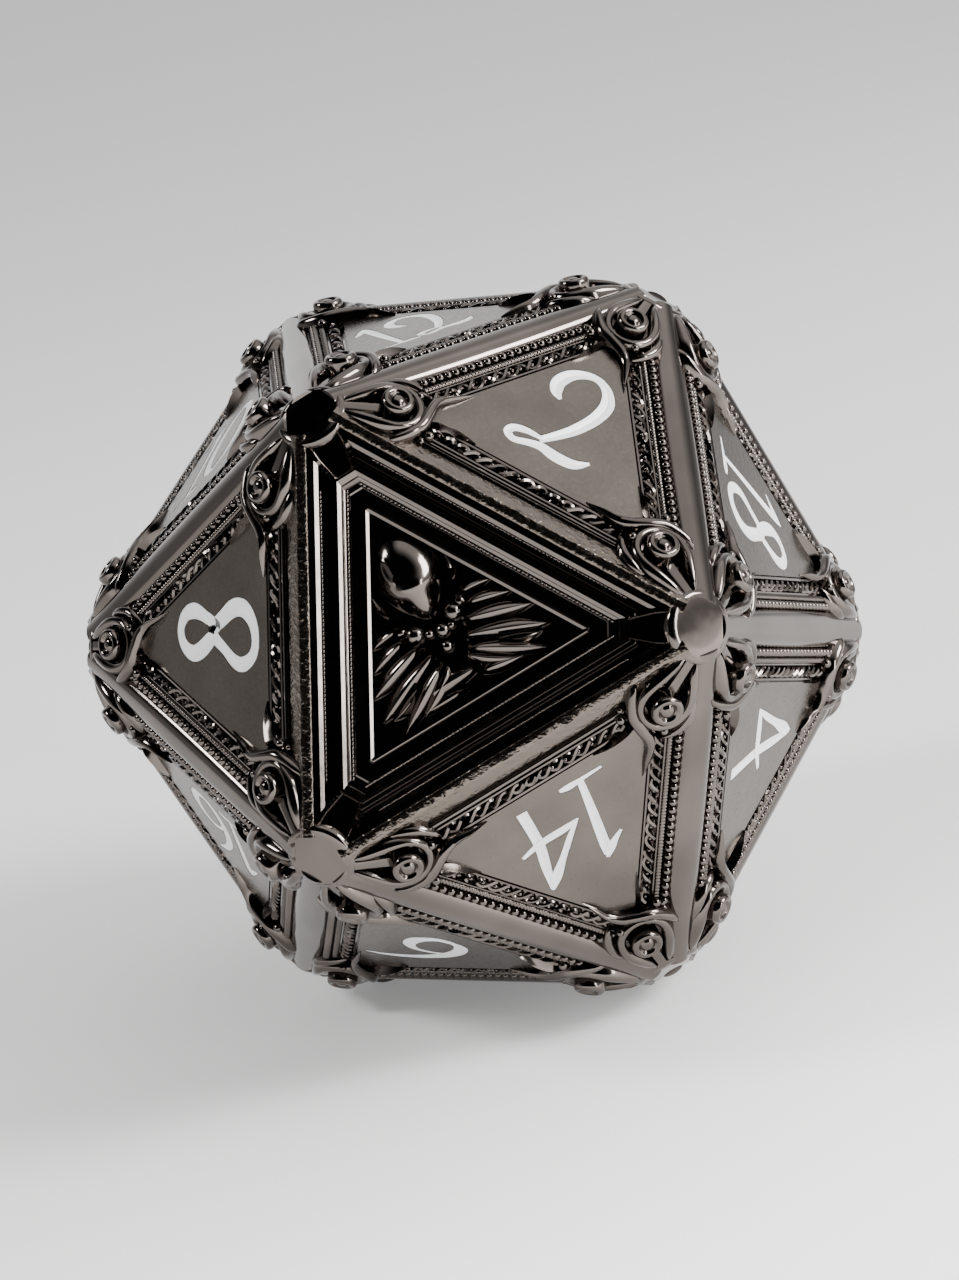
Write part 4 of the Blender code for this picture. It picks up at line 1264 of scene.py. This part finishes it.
def add_blade(shape, place, start, direction, length, width, height, bend):
    """A pointed leaf with a keel, curving sideways and dipping to its tip."""
    path = []
    for step in range(BLADE_STEPS + 1):
        u = step / BLADE_STEPS
        angle = math.radians(direction + bend * u)
        if path:
            x = path[-1][0] + math.cos(angle) * length / BLADE_STEPS
            y = path[-1][1] + math.sin(angle) * length / BLADE_STEPS
        else:
            x, y = start
        swell = math.sin(math.pi * (0.12 + 0.86 * u)) ** 0.7
        path.append((x, y, BLADE_ROOT, width * swell, height * (0.75 + 0.5 * swell) * (1 - 0.45 * u)))
    swept(shape, place, path, BLADE)


def add_sprays(shape, place):
    """Layered blades from the middle into the two lower corners, and a few along the lower side."""
    for x, y, direction, length, width, height, bend in BLADES:
        add_blade(shape, place, (x, y), direction, length, width, height, bend)
        add_blade(shape, place, (-x, y), 180 - direction, length, width, height, -bend)
    for x, y, direction, length, width, height, bend in LOW_BLADES:
        add_blade(shape, place, (x, y), direction, length, width, height, bend)


class DIE_OT_enamel(bpy.types.Operator):
    """White enamel in each engraved digit, one piece for each"""
    bl_idname = "die.enamel"
    bl_label = "Enamel digits"

    def execute(self, context):
        cache = {}
        for number in NUMBERED:
            for node, digit, height, x, y in digit_places(number):
                if (digit, height) not in cache:
                    cache[digit, height] = enamel_mesh(digit, height)
                mesh = cache[digit, height].copy()
                mesh.transform(face_frame(number) @ Matrix.Translation((x, y, PLATE_RISE)))
                mesh.materials.clear()
                mesh.materials.append(material_of(white_enamel))
                piece = bpy.data.objects.new(node.replace("enamel", "filled_digit"), mesh)
                bpy.context.scene.collection.objects.link(piece)
                smooth(piece, 18)
                casting_piece(piece, node)
        return {"FINISHED"}


# ---------------------------------------------------------------- stage
CAMERA_AZIMUTH = 5.80
CAMERA_ELEVATION = 17.60
CAMERA_ROLL = -10.92
CAMERA_PLACE = Vector((20.25, -197.57, 62.86)) * MM
CAMERA_LENS = 85.7


TABLE_HALF = 3.0              # metres
LIGHTS = [  # name, azimuth, elevation, distance, width, height in metres, power in watts
    ("key_right", 100, 34, 0.50, 0.17, 0.17, 3.6),
    ("strip_right", 127, 11, 0.45, 0.045, 0.30, 0.9),
    ("small_left", -95, 40, 0.50, 0.10, 0.10, 1.5),
]


def add_area_light(name, azimuth, elevation, distance, width, height, power):
    """A softbox that looks at the die from a direction."""
    light = bpy.data.lights.new(name, "AREA")
    light.shape = "RECTANGLE"
    light.size = width
    light.size_y = height
    light.energy = power
    item = bpy.data.objects.new(name, light)
    bpy.context.scene.collection.objects.link(item)
    away = towards(azimuth, elevation).normalized()
    item.location = CENTRE + away * distance
    item.rotation_euler = away.to_track_quat("Z", "Y").to_euler()


def towards(azimuth, elevation):
    """A direction: azimuth from +Y (behind the die) towards +X, elevation upwards, in degrees."""
    azimuth, elevation = math.radians(azimuth), math.radians(elevation)
    return Vector((math.sin(azimuth) * math.cos(elevation), math.cos(azimuth) * math.cos(elevation),
                   math.sin(elevation)))


def glow(tree, way, azimuth, elevation, inner, outer, level):
    """A round soft patch of light in the tent, fading between two angles from its middle."""
    near = add_node(tree, "ShaderNodeVectorMath", {0: way, 1: towards(azimuth, elevation)},
                    operation="DOT_PRODUCT")
    return add_node(tree, "ShaderNodeMapRange", {
        "Value": near.outputs["Value"], "From Min": math.cos(math.radians(outer)),
        "From Max": math.cos(math.radians(inner)), "To Max": level},
        interpolation_type="SMOOTHSTEP").outputs[0]


# Azimuth, elevation, inner angle, outer angle, level
GLOWS = [(-10, 12, 12, 48, 0.85), (100, 56, 30, 56, 1.60), (14, 42, 10, 34, 0.55)]
DARK_FRONT = (-174, 20, 38, 68)


def add_world():
    """A tent: bright behind, at the horizon and high on the right, with the dark camera side in front."""
    world = bpy.data.worlds.new("studio_tent")
    world.use_nodes = True
    tree = world.node_tree
    tree.nodes.clear()
    way = add_node(tree, "ShaderNodeTexCoord").outputs["Generated"]
    height = add_node(tree, "ShaderNodeSeparateXYZ", {"Vector": way}).outputs["Z"]
    level = add_node(tree, "ShaderNodeMapRange", {"Value": height, "From Min": 0.50, "From Max": 0.12,
                                                  "To Max": 0.56}, interpolation_type="SMOOTHSTEP").outputs[0]
    for patch in GLOWS:
        level = add_node(tree, "ShaderNodeMath", {0: level, 1: glow(tree, way, *patch)}).outputs[0]
    front = glow(tree, way, *DARK_FRONT, 1.0)
    mixed = mix_colours(tree, front, level, grey(0.008))
    shade = add_node(tree, "ShaderNodeBackground", {"Color": mixed, "Strength": 1.0})
    add_node(tree, "ShaderNodeOutputWorld", {"Surface": shade.outputs[0]})
    bpy.context.scene.world = world


class DIE_OT_stage(bpy.types.Operator):
    """Pale table, soft lights and the camera"""
    bl_idname = "die.stage"
    bl_label = "Stage"

    def execute(self, context):
        shape = bmesh.new()
        bmesh.ops.create_grid(shape, x_segments=1, y_segments=1, size=TABLE_HALF)
        table = object_from("table", shape, pale_table)
        add_world()
        for light in LIGHTS:
            add_area_light(*light)
        camera = bpy.data.cameras.new("camera")
        camera.lens = CAMERA_LENS
        camera.sensor_width = 36
        camera.clip_start = 0.01
        item = bpy.data.objects.new("camera", camera)
        context.scene.collection.objects.link(item)
        item.matrix_world = camera_place()
        context.scene.camera = item
        return {"FINISHED"}


def camera_place():
    """The camera looks at the die's centre and is rolled to the side."""
    azimuth, elevation = math.radians(CAMERA_AZIMUTH), math.radians(CAMERA_ELEVATION)
    away = Vector((math.sin(azimuth) * math.cos(elevation), -math.cos(azimuth) * math.cos(elevation),
                   math.sin(elevation)))
    level_right = Vector((math.cos(azimuth), math.sin(azimuth), 0))
    level_up = away.cross(level_right)
    roll = math.radians(CAMERA_ROLL)
    right = level_right * math.cos(roll) + level_up * math.sin(roll)
    up = level_up * math.cos(roll) - level_right * math.sin(roll)
    return frame_of(right, up, away, CENTRE + CAMERA_PLACE)


class DIE_PT_panel(bpy.types.Panel):
    """Lists the steps that build the die"""
    bl_label = "Twenty-sided die"
    bl_idname = "DIE_PT_panel"
    bl_space_type = "VIEW_3D"
    bl_region_type = "UI"
    bl_category = "Die"

    def draw(self, context):
        for operator in OPERATORS:
            self.layout.operator(operator.bl_idname)


OPERATORS = [DIE_OT_stage, DIE_OT_casting_ground, DIE_OT_ridges, DIE_OT_corner_pads, DIE_OT_pearl_rows,
             DIE_OT_striated_rods, DIE_OT_link_bands, DIE_OT_corner_ornaments, DIE_OT_relief_frame,
             DIE_OT_relief, DIE_OT_enamel]
CLASSES = [DieSizes, DieColours, *OPERATORS, DIE_PT_panel]


def register():
    for kind in CLASSES:
        bpy.utils.register_class(kind)
    bpy.types.Scene.die_sizes = bpy.props.PointerProperty(type=DieSizes)
    bpy.types.Scene.die_colours = bpy.props.PointerProperty(type=DieColours)


def unregister():
    del bpy.types.Scene.die_colours
    del bpy.types.Scene.die_sizes
    for kind in reversed(CLASSES):
        bpy.utils.unregister_class(kind)


def main():
    register()
    for operator in OPERATORS:
        group, name = operator.bl_idname.split(".")
        getattr(getattr(bpy.ops, group), name)()


if __name__ == "__main__":
    main()
